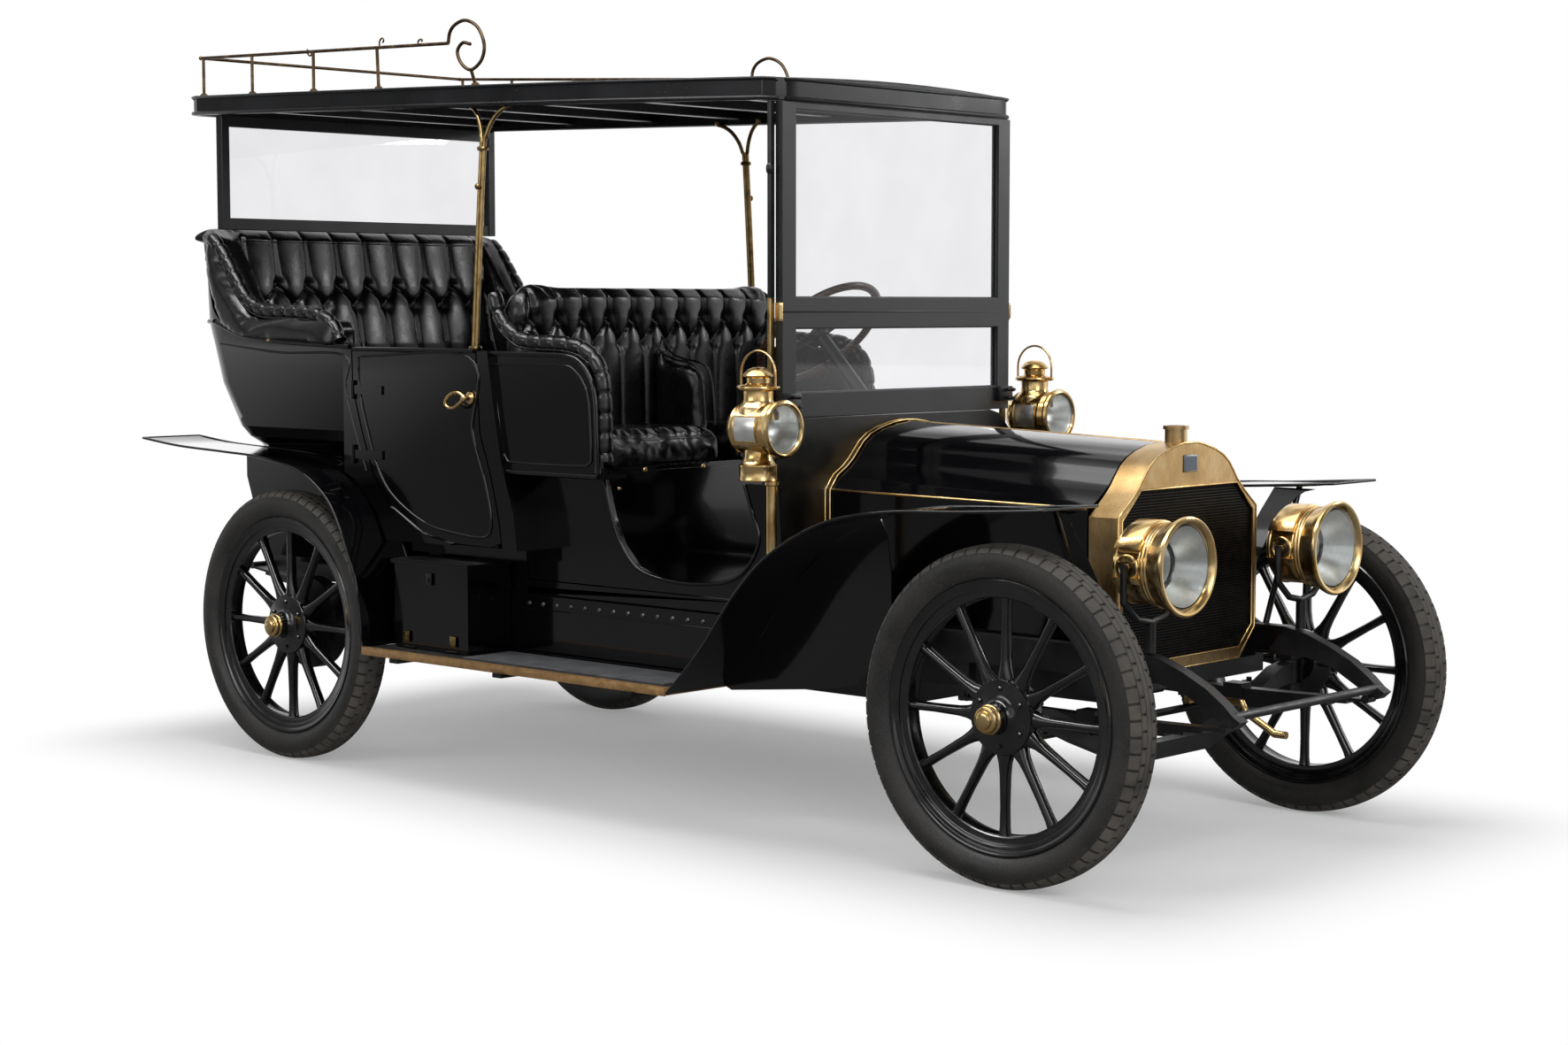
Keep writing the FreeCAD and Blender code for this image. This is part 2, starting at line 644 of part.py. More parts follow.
# ---------------------------------------------------------------------------------------------
# Radiator: brass shell with a rounded crown, black core, filler neck
# ---------------------------------------------------------------------------------------------
CROWN = [
    # share of the half width, below the crest
    (0.2, 7), (0.37, 22), (0.49, 39), (0.58, 60), (0.65, 86), (0.71, 110), (0.79, 134), (0.9, 162), (1, 187)]
radiator_right = ([(0, "RadiatorCrest")]
                  + [("RadiatorHalfWidth * %s" % share, "RadiatorCrest - %d" % drop) for share, drop in CROWN]
                  + [("RadiatorHalfWidth", "RadiatorFoot + 82"), ("RadiatorHalfWidth - 79", "RadiatorFoot")])


def mirror_outline(points):
    start = 1 if points[0][0] == 0 else 0
    return points + [("-(%s)" % y, z) for y, z in reversed(points[start:])]


shell = new_body("RadiatorShell")
back = "FrontAxleX + RadiatorAhead - RadiatorDepth"
front = "FrontAxleX + RadiatorAhead"
pad(shell, "YZ", mirror_outline(radiator_right), back, front)
window = [("RadiatorHalfWidth * 0.7", "RadiatorCrest - 118"), ("RadiatorHalfWidth - 16", "RadiatorCrest - 196"),
          ("RadiatorHalfWidth - 16", "RadiatorFoot + 90"), ("RadiatorHalfWidth - 78", "RadiatorFoot + 30")]
pocket(shell, "YZ", mirror_outline(window), back, front)
neck = rod("Z", "RadiatorCrest - 18", "RadiatorCrest + FillerHeight - 18", "FrontAxleX + 20", 0, "FillerRadius")
lip = rod("Z", "RadiatorCrest + FillerHeight - 28", "RadiatorCrest + FillerHeight - 18", "FrontAxleX + 20", 0,
          "FillerRadius + 5")
bore = rod("Z", "RadiatorCrest - 30", "RadiatorCrest + FillerHeight", "FrontAxleX + 20", 0, "FillerRadius - 5")
bonnet_front = number("FrontAxleX + RadiatorAhead - RadiatorDepth")
hinge_rod = shaped(bar((bonnet_front, 0, number("RadiatorCrest") - 2.5),
                       (number("FrontAxleX + DashAhead") + 0.3, 0, number("BonnetRearCrest") - 1.5),
                       number("BonnetHingeRadius")), "HingeRod")
node(cut(fused([shell, neck, lip, hinge_rod]), bore), "radiator_shell")

core = new_body("RadiatorCore")
inset = [("RadiatorHalfWidth * 0.7 - 0.4", "RadiatorCrest - 118.3"),
         ("RadiatorHalfWidth - 16.4", "RadiatorCrest - 196.2"),
         ("RadiatorHalfWidth - 16.4", "RadiatorFoot + 90.2"), ("RadiatorHalfWidth - 78.2", "RadiatorFoot + 30.3")]
pad(core, "YZ", mirror_outline(inset), back + " + 8", front + " - 14")
node(core, "radiator_core")

# ---------------------------------------------------------------------------------------------
# Bonnet: on each side a leaf on the crest hinge, and a side panel that hangs from the leaf's shoulder hinge
# ---------------------------------------------------------------------------------------------
def bonnet_stations():
    """Station, crest height, half width and shoulder height at the bonnet's front and rear edges."""
    front_crest = number("RadiatorCrest - 1")
    rear_crest = number("BonnetRearCrest")
    return [
        (number("FrontAxleX + RadiatorAhead - RadiatorDepth - 5"), front_crest, number("RadiatorHalfWidth"),
         front_crest - 166),
        (number("FrontAxleX + BonnetRearAhead"), rear_crest, number("BonnetRearHalfWidth"), rear_crest - 188)]


def leaf_section(x, crest, half, shoulder, side):
    """The leaf's cross-section at one station: outside from the crest to the shoulder, then back inside."""
    skin = number("BonnetSkin")
    start = number("BonnetHingeRadius + HingeGap") + 0.2 * skin
    outer = [(start, crest), (half * 0.2, crest - 7), (half * 0.37, crest - 21), (half * 0.49, crest - 37),
             (half * 0.58, crest - 58), (half * 0.65, crest - 84), (half * 0.71, crest - 106),
             (half * 0.79, crest - 128), (half * 0.9, crest - 150), (half - 0.4 * skin, shoulder + 0.4 * skin)]
    inner = []
    for i, (y, z) in enumerate(outer):
        a = outer[max(i - 1, 0)]
        b = outer[min(i + 1, len(outer) - 1)]
        run = Vector(b[0] - a[0], b[1] - a[1], 0).normalize()
        inner.append((y + run.y * skin, z - run.x * skin))
    return [(x, side * y, z) for y, z in outer + inner[::-1]]


def bonnet(hand, side):
    skin = number("BonnetSkin")
    stations = bonnet_stations()
    leaf = loft([leaf_section(*station, side) for station in stations])
    hinge = bar(*[(x, side * (half - skin / 2), shoulder) for x, crest, half, shoulder in stations],
                number("BonnetHingeRadius"))
    node(shaped(leaf.fuse(hinge)), "bonnet_" + hand)
    drop = number("BonnetHingeRadius + HingeGap")
    low = number("RailTop") + 8
    panel = [[(x, side * y, z) for y, z in ((half - skin, shoulder - drop), (half, shoulder - drop),
                                           (half, low), (half - skin, low))]
             for x, crest, half, shoulder in stations]
    node(shaped(loft(panel)), "bonnet_side_" + hand)


bonnet("right", -1)
bonnet("left", 1)

# ---------------------------------------------------------------------------------------------
# Dash board and windscreen
# ---------------------------------------------------------------------------------------------
dash = new_body("Dash")
dash_right = [
    # half width, height
    ("RailHalfSpan + 20", "RailTop + 0.3"), ("RailHalfSpan + 20", 700), (520, 760), (532, "ScreenFoot - 196"),
    (575, "ScreenFoot - 190"), (575, "ScreenFoot - 177"), (528, "ScreenFoot - 66"), (470, "ScreenFoot - 12"),
    (425, "ScreenFoot")]
dash_front = "FrontAxleX + DashAhead"
dash_back = "FrontAxleX + DashAhead - DashThickness"
pad(dash, "YZ", mirror_outline(dash_right), dash_back, dash_front)
node(dash, "dash_board")

screen = new_body("Screen")
screen_back = "FrontAxleX + DashAhead - ScreenThickness"
pad(screen, "YZ", rect("-ScreenHalfWidth", "ScreenHalfWidth", "ScreenFoot", "RoofFrontUnderside - 2"),
    screen_back, dash_front)
PANES = [("ScreenFoot + 70", "ScreenFoot + 253"), ("ScreenFoot + 340", "RoofFrontUnderside - 20")]
for low, high in PANES:
    pocket(screen, "YZ", rect("-ScreenHalfWidth + ScreenStile", "ScreenHalfWidth - ScreenStile", low, high),
           screen_back, dash_front)
node(screen, "windscreen_frame")
panes = [box(dash_front + " - ScreenThickness / 2 - GlassThickness / 2",
             dash_front + " - ScreenThickness / 2 + GlassThickness / 2",
             "-ScreenHalfWidth + ScreenStile", "ScreenHalfWidth - ScreenStile", low, high) for low, high in PANES]

# ---------------------------------------------------------------------------------------------
# Canopy roof: a crowned panel with a deep fascia and cross bows underneath
# ---------------------------------------------------------------------------------------------
ROOF_STATIONS = [
    # back from the front edge, side pulled in from full width
    (0, 80), (8, 40), (26, 14), (60, 0), (700, 0), (1400, 0), (2100, 0), (2620, 0), (2655, 14), (2680, 50)]


def roof_at(back):
    """Half width and underside height at a distance back from the front edge."""
    length = number("RoofFrontAhead - RoofRearAhead")
    front_half, front_low = number("RoofFrontHalfWidth"), number("RoofFrontUnderside")
    knots = [0, 60, 700, 1400, 2100, length]
    k = max(i for i in range(5) if back >= knots[i] or i == 0)
    spots = []
    for t in (knots[k] / length, knots[k + 1] / length):
        half = front_half + (number("RoofRearHalfWidth") - front_half) * t ** 0.7
        low = front_low + (number("RoofRearUnderside") - front_low) * t ** 0.85
        spots.append((half, low))
    share = (back - knots[k]) / (knots[k + 1] - knots[k])
    return tuple(a + (b - a) * share for a, b in zip(*spots))


def roof_top(back, y):
    """Height of the roof's outer surface, which is straight between its crown points."""
    half, low = roof_at(back)
    share = min(abs(y) / half * 4, 3.999)
    k = int(share)
    a, b = (1 - (k / 4) ** 2), (1 - ((k + 1) / 4) ** 2)
    return low + number("RoofFascia") + number("RoofCrown") * (a + (b - a) * (share - k))


def roof_section(back, pull, low_in, top_in, side_in):
    half, low = roof_at(back)
    x = FX + number("RoofFrontAhead") - back
    top = low + number("RoofFascia") - top_in
    w = half - pull - side_in
    crown = number("RoofCrown")
    points = [(-w, low + low_in), (-w, top)]
    points += [(w * k / 4, top + crown * (1 - (k / 4) ** 2)) for k in range(-3, 4)]
    points += [(w, top), (w, low + low_in)]
    return [(x, y, z) for y, z in points]


outer = loft([roof_section(back, pull, 0, 0, 0) for back, pull in ROOF_STATIONS])
inside = loft([roof_section(back, pull, -5, 20, 22) for back, pull in
               [(24, 30), (60, 0), (700, 0), (1400, 0), (2100, 0), (2620, 0), (2656, 20)]])
roof = outer.cut(inside)
for back in (330, 760, 1190, 1620, 2050, 2480):
    half, low = roof_at(back)
    x = FX + number("RoofFrontAhead") - back
    bow = Part.makeBox(36, 2 * half - 30, 34, Vector(x - 18, -half + 15, low + number("RoofFascia") - 48))
    roof = roof.fuse(bow)
node(shaped(roof), "canopy_roof")

# Rear window in the roof's back: posts, bottom rail, pane
POST_X = "FrontAxleX - 3450"
rear_low = roof_at(3450 - 945)[1]
posts = [box(POST_X + " - 16", POST_X + " + 16", 580, 612, 1736.3, rear_low - 1.2),
         box(POST_X + " - 16", POST_X + " + 16", -612, -580, 1736.3, rear_low - 1.2),
         box(POST_X + " - 12", POST_X + " + 12", -582, 582, 1736.3, 1776),
         box(POST_X + " - 12", POST_X + " + 12", -582, 582, rear_low - 40, rear_low - 1.2)]
node(fused(posts), "rear_window_frame")
panes.append(box(POST_X + " - 3", POST_X + " + 3", -579.8, 579.8, 1776.2, rear_low - 40.2))
node(group(panes), "window_glass")

# ---------------------------------------------------------------------------------------------
# Brass stanchions with forked heads, and the luggage rail on the roof
# ---------------------------------------------------------------------------------------------
def stanchions():
    half, low = roof_at(2090 - 945)
    x = FX - 2090
    y = 626
    parts = [bar((x - 7, y, 1341), (x - 7, y, 1960), 7.6), bar((x + 7, y, 1341), (x + 7, y, 1960), 7.6)]
    for side in (-1, 1):
        head_x = x + side * 92
        head_half, head_low = roof_at(FX + number("RoofFrontAhead") - head_x)
        head_y = head_half - 11
        parts.append(bar((x + side * 7, y, 1950), (x + side * 34, y - 14, 2020), 7))
        parts.append(bar((x + side * 34, y - 14, 2020), (head_x, head_y, head_low - 14), 7))
        parts.append(Part.makeSphere(8, Vector(x + side * 34, y - 14, 2020)))
        parts.append(Part.makeCylinder(10, 19, Vector(head_x, head_y, head_low - 19.8)))
    parts.append(Part.makeSphere(15, Vector(x, y, 1962)))
    parts.append(Part.makeBox(44, 18, 12, Vector(x - 22, y - 9, 1340.3)))
    centre = parts[0].multiFuse(parts[1:])
    front_x = FX + number("DashAhead - DashThickness") - 14.3
    strip_low = 1060
    strip_top = roof_at(FX + number("RoofFrontAhead") - front_x - 14)[1] - 0.4
    front = Part.makeBox(14, 16, strip_top - strip_low, Vector(front_x, 521, strip_low))
    knob = Part.makeSphere(11, Vector(front_x + 6, 530, 1960))
    return Part.makeCompound([centre, front.fuse(knob)])


right = flipped(stanchions())
node(group([shaped(stanchions()), shaped(right)]), "canopy_stanchions")


SCROLL = [
    # ahead of the rail's end, above the rod's height there
    (0, 0), (66, 12), (89, 52), (116, 64), (156, 47), (174, 2), (146, -26), (110, -26), (96, -3), (116, 14)]
RAIL_REAR, RAIL_FRONT, SCROLL_STEM = (-3590, 2322), (-2296, 2288), 110
RAIL_POSTS = (-3575, -3301, -2970, -2643)
RAIL_FOOT_RADIUS, RAIL_FOOT_HEIGHT = 13, 8


def luggage_rail(y, onward, drop):
    """One side's rod, its posts and the scroll at its front, which may stand further on and lower."""
    r = number("RailRodRadius")
    end_x, end_z = RAIL_FRONT[0] + onward, RAIL_FRONT[1] - drop
    points = [(FX + RAIL_REAR[0], y, RAIL_REAR[1])]
    points += [(FX + end_x + ahead, y, end_z + up) for ahead, up in SCROLL]
    parts = [bars(points, r)]
    slope = (end_z - RAIL_REAR[1]) / (end_x - RAIL_REAR[0])
    feet = [(ahead, RAIL_REAR[1] + (ahead - RAIL_REAR[0]) * slope) for ahead in RAIL_POSTS]
    feet.append((end_x + SCROLL_STEM, end_z - 26))
    for ahead, high in feet:
        back = number("RoofFrontAhead") - ahead
        half, low = roof_at(back)
        y_foot = min(y, half - 22)
        foot = roof_top(back, y_foot - RAIL_FOOT_RADIUS) + 0.9
        parts.append(bar((FX + ahead, y_foot, foot + 2), (FX + ahead, y, high + 3), r))
        parts.append(Part.makeCylinder(RAIL_FOOT_RADIUS, RAIL_FOOT_HEIGHT, Vector(FX + ahead, y_foot, foot)))
    return parts[0].multiFuse(parts[1:])


rail_y = 580
near_rail = flipped(luggage_rail(rail_y, 0, 0))
far_rail = luggage_rail(rail_y, 200, 50)
cross = bar((FX + RAIL_REAR[0], -rail_y, RAIL_REAR[1]), (FX + RAIL_REAR[0], rail_y, RAIL_REAR[1]),
            number("RailRodRadius"))
ends = [Part.makeSphere(number("RailRodRadius") + 2, Vector(FX + RAIL_REAR[0], side * rail_y, RAIL_REAR[1]))
        for side in (-1, 1)]
node(shaped(near_rail.multiFuse([far_rail, cross] + ends)), "luggage_rail")

# ---------------------------------------------------------------------------------------------
# Body: floor and sills, rear tub, front seat sides, doors
# ---------------------------------------------------------------------------------------------
lower = "LowerBodyHalfWidth"
FLOOR_TOP = "RailTop + FloorThickness + 26.5"
floor = [box("FrontAxleX - 3330", "FrontAxleX - 2890", "-%s + 5" % lower, "%s - 5" % lower,
             "RailTop + 26.5", FLOOR_TOP),
         box("FrontAxleX - 2890", "FrontAxleX - 980", "-%s" % lower, lower, "RailTop + 6.5", FLOOR_TOP),
         box("FrontAxleX - 2500", "FrontAxleX - 2450", -520, 520, "RailTop + 0.2", "RailTop + 10"),
         box("FrontAxleX - 1400", "FrontAxleX - 1350", -520, 520, "RailTop + 0.2", "RailTop + 10")]
for low, high, edge_low, edge_high in (("%s - 8" % lower, "%s + 1" % lower, lower, 602),
                                       ("-%s - 1" % lower, "-%s + 8" % lower, -602, "-%s" % lower)):
    floor.append(box("FrontAxleX - 2470", "FrontAxleX - 2004", low, high, "RailTop + 7", "RailTop + 144"))
    floor.append(box("FrontAxleX - 2470", "FrontAxleX - 1930", edge_low, edge_high, "RailTop + 112", "RailTop + 144"))
node(fused(floor), "floor")

TUB_LEVELS = [
    # height, rear silhouette ahead of the front axle, half width
    (640, -3290, 553), (852, -3303, 553), (985, -3356, 556), (1012, -3364, 572), (1040, -3378, 612), (1075, -3400, 630),
    (1218, -3487, 638), (1345, -3528, 640), (1425, -3552, 645), (1586, -3570, 640), (1700, -3596, 636)]


def tub_solid(inset, front_ahead):
    """The rear body's outer form, or its inside when inset by the wall."""
    sections = []
    for z, rear, half in TUB_LEVELS:
        x0 = FX + rear + inset
        x1 = FX + front_ahead
        w = half - inset
        r = 110 - inset * 0.5
        half_plan = [(x1, w), (x0 + r, w), (x0 + 0.62 * r, w - 0.09 * r), (x0 + 0.29 * r, w - 0.29 * r),
                     (x0 + 0.09 * r, w - 0.62 * r), (x0, w - r)]
        plan = half_plan + [(x, -y) for x, y in reversed(half_plan)]
        sections.append([(x, y, z) for x, y in plan])
    return loft(sections)


wall = number("TubWall")
tub = tub_solid(0, -2120).cut(tub_solid(wall, -2000))
DOOR_REAR = [(-2712, 1345), (-2708, 1214), (-2662, 1073), (-2609, 942), (-2529, 849), (-2367, 769), (-2209, 743),
             (-2053, 740), (-2003, 755)]
DOOR_FRONT = [(-2014, 823), (-2049, 956), (-2099, 1090), (-2113, 1319), (-2115, 1345)]
door_line = at(DOOR_REAR + DOOR_FRONT)


front_gap = at([(-2000, 600), (-2718, 600), (-2718, 1800), (-2000, 1800)])
tub = tub.cut(side_plate(front_gap, -900, 900))
TUB_RIM = [(-2600, 1345), (-3070, 1362), (-3274, 1376), (-3400, 1410), (-3462, 1470), (-3505, 1570), (-3530, 1702)]
side_profile = at([(-2600, 1800)] + TUB_RIM + [(-3530, 1800)])
tub = tub.cut(side_plate(side_profile, -900, 900))
low_front = at([(-2500, 600), (-2500, 1010), (-2880, 1010), (-2880, 600)])
tub = tub.cut(side_plate(low_front, -900, 900))
seat_base = Part.makeBox(20, 1070, 340, Vector(FX - 2880, -535, number(FLOOR_TOP) + 0.3))
PATCH = [(-2760, 1338), (-2718, 1338), (-2714, 1212), (-2668, 1071), (-2615, 939), (-2534, 842), (-2370, 762),
         (-2240, 741), (-2240, 735), (-2552, 735), (-2566, 762), (-2600, 822), (-2619, 842), (-2699, 917), (-2760, 944)]
patch = side_plate(at(PATCH), number("TubHalfWidth - TubWall"), number("TubHalfWidth"))
REAR_SHELF_RISE, REAR_CUSHION_HALF = 350, 528
shelf = Part.makeBox(450, 1090, 20, Vector(FX - 3325, -545, number(FLOOR_TOP) + REAR_SHELF_RISE - 20))
shelf = shelf.common(tub_solid(wall + 0.2, -2000))
tub = tub.multiFuse([seat_base, shelf])
HINGE_X, HINGE_Y, KNUCKLE = FX - 2706, number("TubHalfWidth") + 6.3, 6
HINGE_HEIGHTS = (1210, 1003)


def hinge_ears(low, high):
    """The tub's two knuckles of one door hinge, above and below the door's own knuckle."""
    parts = []
    for z0, z1 in ((low - 16, low - 0.3), (high + 0.3, high + 16)):
        parts.append(Part.makeCylinder(KNUCKLE, z1 - z0, Vector(HINGE_X, HINGE_Y, z0)))
        parts.append(Part.makeBox(30, KNUCKLE, z1 - z0, Vector(HINGE_X - 30, HINGE_Y - KNUCKLE, z0)))
        parts.append(Part.makeBox(20, KNUCKLE, z1 - z0, Vector(HINGE_X - 30, HINGE_Y - KNUCKLE - 2, z0)))
    return parts


ears = [part for z in HINGE_HEIGHTS for part in hinge_ears(z - 14, z + 14)]
tub = tub.multiFuse([patch, flipped(patch)] + ears + [flipped(part) for part in ears])
node(shaped(tub), "rear_tub")


def door(name, side):
    y0, y1 = number("TubHalfWidth - TubWall"), number("TubHalfWidth")
    panel = side_plate(door_line, y0, y1)
    for z, x_on in zip(HINGE_HEIGHTS, (HINGE_X + 2, HINGE_X + 84)):
        knuckle_part = Part.makeCylinder(KNUCKLE, 28, Vector(HINGE_X, HINGE_Y, z - 14))
        strap = Part.makeBox(FX - 2560 - HINGE_X, 5.4, 28, Vector(HINGE_X, y1 + 0.6, z - 14))
        root = Part.makeBox(FX - 2560 - x_on, 6, 28, Vector(x_on, y1 - 1, z - 14))
        panel = panel.multiFuse([knuckle_part, strap, root])
    if side < 0:
        panel = flipped(panel)
    node(shaped(panel), name)


door("door_right", -1)
door("door_left", 1)


def front_side():
    """Pillar, seat side and lower body side with its curved step opening, on the left."""
    y0, y1 = number("TubHalfWidth - TubWall"), number("TubHalfWidth")
    pillar = side_plate(at([(-1996, 734.5), (-2008, 823), (-2043, 956), (-2093, 1090), (-2107, 1319), (-2108, 1340),
                            (-2060, 1340), (-2030, 1150), (-2002, 1009), (-1945, 843), (-1931, 734.5)]), y0, y1)
    seat = side_plate(at([(-2030, 975), (-2055, 1090), (-2095, 1335), (-1725, 1335), (-1640, 1310), (-1602, 1235),
                          (-1590, 1080), (-1590, 975)]), 600, 620)
    ledge = side_plate(at([(-2030, 980), (-1590, 980), (-1590, 966), (-2030, 966)]), 506, 620)
    lower_side = side_plate(at([
        (-2000, 981), (-1672, 981), (-1660, 949), (-1630, 850), (-1590, 770), (-1527, 706), (-1440, 680), (-1300, 672),
        (-1150, 690), (-1070, 740), (-1030, 818), (-1060, 900), (-1085, 973), (-981, 973), (-981, 640), (-2000, 640)]),
        508, 528)
    inner_return = side_plate(at([(-1931, 734.5), (-1945, 843), (-1992, 981), (-2008, 981), (-1961, 843),
                                  (-1947, 734.5)]), 526, y0 + 2)
    return pillar.multiFuse([seat, ledge, lower_side, inner_return])


left_side = front_side()
riser = Part.makeBox(20, 1012, 343, Vector(FX - 1680, -506, number(FLOOR_TOP) + 0.3))
wall_low = number(FLOOR_TOP) + 0.3
wall_half = [(520, wall_low), (520, 735), (598, 735), (598, 960), (598, 1336)]
wall_outline = [(FX - 2085, y, z) for y, z in wall_half] + [(FX - 2085, -y, z) for y, z in wall_half[::-1]]
back_face = Part.Face(Part.makePolygon([Vector(*p) for p in wall_outline + wall_outline[:1]]))
back_wall = back_face.extrude(Vector(20, 0, 0))
seat_top = Part.makeBox(415, 1190, 14, Vector(FX - 2085, -595, number("SeatBoardTop") - 14))
node(shaped(left_side.multiFuse([flipped(left_side), riser, back_wall, seat_top])), "front_tub")

# ---------------------------------------------------------------------------------------------
# Seats
# ---------------------------------------------------------------------------------------------
def padded(solid, radius, axis=None):
    """A stuffed form: its arrises rounded, apart from those on the board that it rests on.

    For a panel, the axis that it was drawn out along leaves out the joins between its lines and arcs.
    """
    box = solid.BoundBox
    edges = [edge for edge in solid.Edges if edge.CenterOfMass.z > box.ZMin + 1]
    if axis:
        low, high = getattr(box, axis + "Min"), getattr(box, axis + "Max")
        edges = [edge for edge in edges
                 if min(abs(getattr(edge.CenterOfMass, axis.lower()) - end) for end in (low, high)) < 0.01]
    return solid.makeFillet(radius, edges)


def cushion(x0, x1, y0, y1, z0, z1, radius):
    return padded(Part.makeBox(x1 - x0, y1 - y0, z1 - z0, Vector(x0, y0, z0)), radius)


seat_z = number("SeatBoardTop + SeatClearance")
seat_back_x = FX + number("SeatBackAhead")
seat_front_x = FX + number("SeatFrontAhead")
seat_half = number("SeatHalfWidth")
arm_wide = number("SeatArmWidth")
back_thick = number("SeatBackThickness")
wall_face = seat_back_x - back_thick
back_top = number("SeatBackTop")
gap = number("SeatPadGap")

SHOULDER = 110
rest = padded(cross_panel([(-seat_half, seat_z, 0), (seat_half, seat_z, 0), (seat_half, back_top, SHOULDER),
                           (-seat_half, back_top, SHOULDER)], wall_face, seat_back_x), 32, "X")
ARM_OUTLINE = [
    # ahead of the seat back's face, above the seat board, corner radius
    (gap, 0, 0), (gap, 440, 20), (60, 395, 60), (215, 352, 80), (355, 322, 90), (382, 0, 0)]
arm_points = [(seat_back_x + x, seat_z + z, r) for x, z, r in ARM_OUTLINE]
arms = [padded(side_panel(arm_points, y0, y0 + arm_wide), 14, "Y") for y0 in (seat_half - arm_wide, -seat_half)]
MIDDLE_ARM = [
    # the armrest between the two front places, on the same measures
    (gap, 0, 0), (gap, 380, 20), (60, 320, 50), (215, 295, 70), (235, 0, 0)]
MIDDLE_ARM_HALF = 23
middle_points = [(seat_back_x + x, seat_z + z, r) for x, z, r in MIDDLE_ARM]
middle_arm = padded(side_panel(middle_points, -MIDDLE_ARM_HALF, MIDDLE_ARM_HALF), 12, "Y")
place_low = MIDDLE_ARM_HALF + gap
place_high = seat_half - arm_wide - gap
pair = [cushion(seat_back_x + gap, seat_front_x, y0, y0 + place_high - place_low, seat_z,
                number("SeatCushionTop"), 26)
        for y0 in (place_low, -place_high)]
rear_z = number(FLOOR_TOP) + REAR_SHELF_RISE + number("SeatClearance")
rear_cushion = cushion(FX - 3220, FX - 2865, -REAR_CUSHION_HALF, REAR_CUSHION_HALF, rear_z,
                       number("SeatCushionTop") + 13, 30)
node(shaped(Part.makeCompound(pair + [rear_cushion])), "seat_cushions")


REAR_ARM_TOP = [
    # ahead of the front axle, height, corner radius
    (-2778, 1347, 0), (-2782, 1438, 48), (-3235, 1452, 120), (-3463, 1733, 0)]
REAR_BACK_FACE = [(-3290, 1106), (-3390, 1340), (-3430, 1560), (-3462, 1700)]
ROLL_INNER, ROLL_OUTER = 548, 655
TOP_ROLL_HALF, TOP_ROLL_REAR, TOP_ROLL_FRONT, TOP_ROLL_Z = 640, -3590, -3452, 1736


def rear_back():
    """The padded back and its wrap-round arms: inside the tub below its rim, rolled out over the rim above it."""
    inside = tub_solid(wall + 0.3, -2000)
    rim_top = TUB_RIM[-1][1]
    behind = TUB_RIM[-1][0] - 170
    foot_z = REAR_BACK_FACE[0][1]
    back = side_plate(at(REAR_BACK_FACE + [(behind, rim_top - 2), (behind, foot_z)]), -700, 700).common(inside)
    arm_top = [(FX + x, z, r) for x, z, r in REAR_ARM_TOP]
    arm_low = side_panel([(arm_top[0][0], foot_z, 0)] + arm_top + [(FX + behind, arm_top[-1][1], 0),
                                                                (FX + behind, foot_z, 0)], ROLL_INNER, 700)
    over_rim = [(FX + x + 0.4, z + 0.6, 0) for x, z in reversed(TUB_RIM[1:])]
    roll_outline = [(arm_top[0][0], arm_top[0][1] + 5, 0)] + arm_top[1:]
    roll_outline += [(over_rim[0][0], arm_top[-1][1], 0)] + over_rim
    roll = side_panel(roll_outline, ROLL_INNER, ROLL_OUTER)
    top = cushion(FX + TOP_ROLL_REAR, FX + TOP_ROLL_FRONT, -TOP_ROLL_HALF, TOP_ROLL_HALF,
                  rim_top + 0.5, TOP_ROLL_Z, 14)
    tongue = Part.makeBox(90, 1080, 12, Vector(FX - 3562, -540, rim_top - 8))
    arm = arm_low.common(inside).fuse(roll)
    return back.fuse(arm).fuse(flipped(arm)).fuse(tongue).fuse(top).removeSplitter()


node(shaped(Part.makeCompound([rest, middle_arm] + arms + [rear_back()])), "seat_backs")

# ---------------------------------------------------------------------------------------------
# Running boards, valances, fenders, tool boxes
# ---------------------------------------------------------------------------------------------
board = new_body("Board")
pad(board, "XY", rect("FrontAxleX - 2478", "FrontAxleX - 1140", "BoardInner - 13", "BoardHalfWidth"),
    "BoardTop - BoardThickness", "BoardTop")
pad(board, "XY", rect("FrontAxleX - 2040", "FrontAxleX - 1175", "BoardInner + 25", "BoardHalfWidth - 30"),
    "BoardTop", "BoardTop + MatThickness")
node(both_sides(board), "running_boards")
valance = side_plate(at([(-2470, 390), (-1150, 390), (-1150, 592), (-2470, 592)]), 532, 540)
irons = [Part.makeBox(40, 440, 14, Vector(FX + a, 375.3, 375.7)) for a in (-1300, -1850, -2330)]
posts = [Part.makeBox(40, 10, 210, Vector(FX + a, 375.3, 375.7)) for a in (-1300, -1850, -2330)]
node(both_sides(shaped(valance.multiFuse([i.fuse(p) for i, p in zip(irons, posts)]))), "valances")

FRONT_FENDER = [(170, 977), (-99, 960), (-333, 948), (-547, 909), (-738, 816), (-870, 699), (-1005, 530), (-1136, 396)]
REAR_FENDER = [(-3655, 1030), (-3452, 1011), (-3200, 1000), (-3012, 990), (-2811, 957), (-2699, 905), (-2619, 830),
               (-2542, 685), (-2508, 600), (-2484, 409)]


def fender(curve, plate, y0, y1):
    skin = number("FenderSkin")
    sheet_metal = side_strip(at(curve), skin, y0, y1)
    inner = side_plate(at(plate), y0, y0 + skin)
    return sheet_metal.multiFuse([inner])


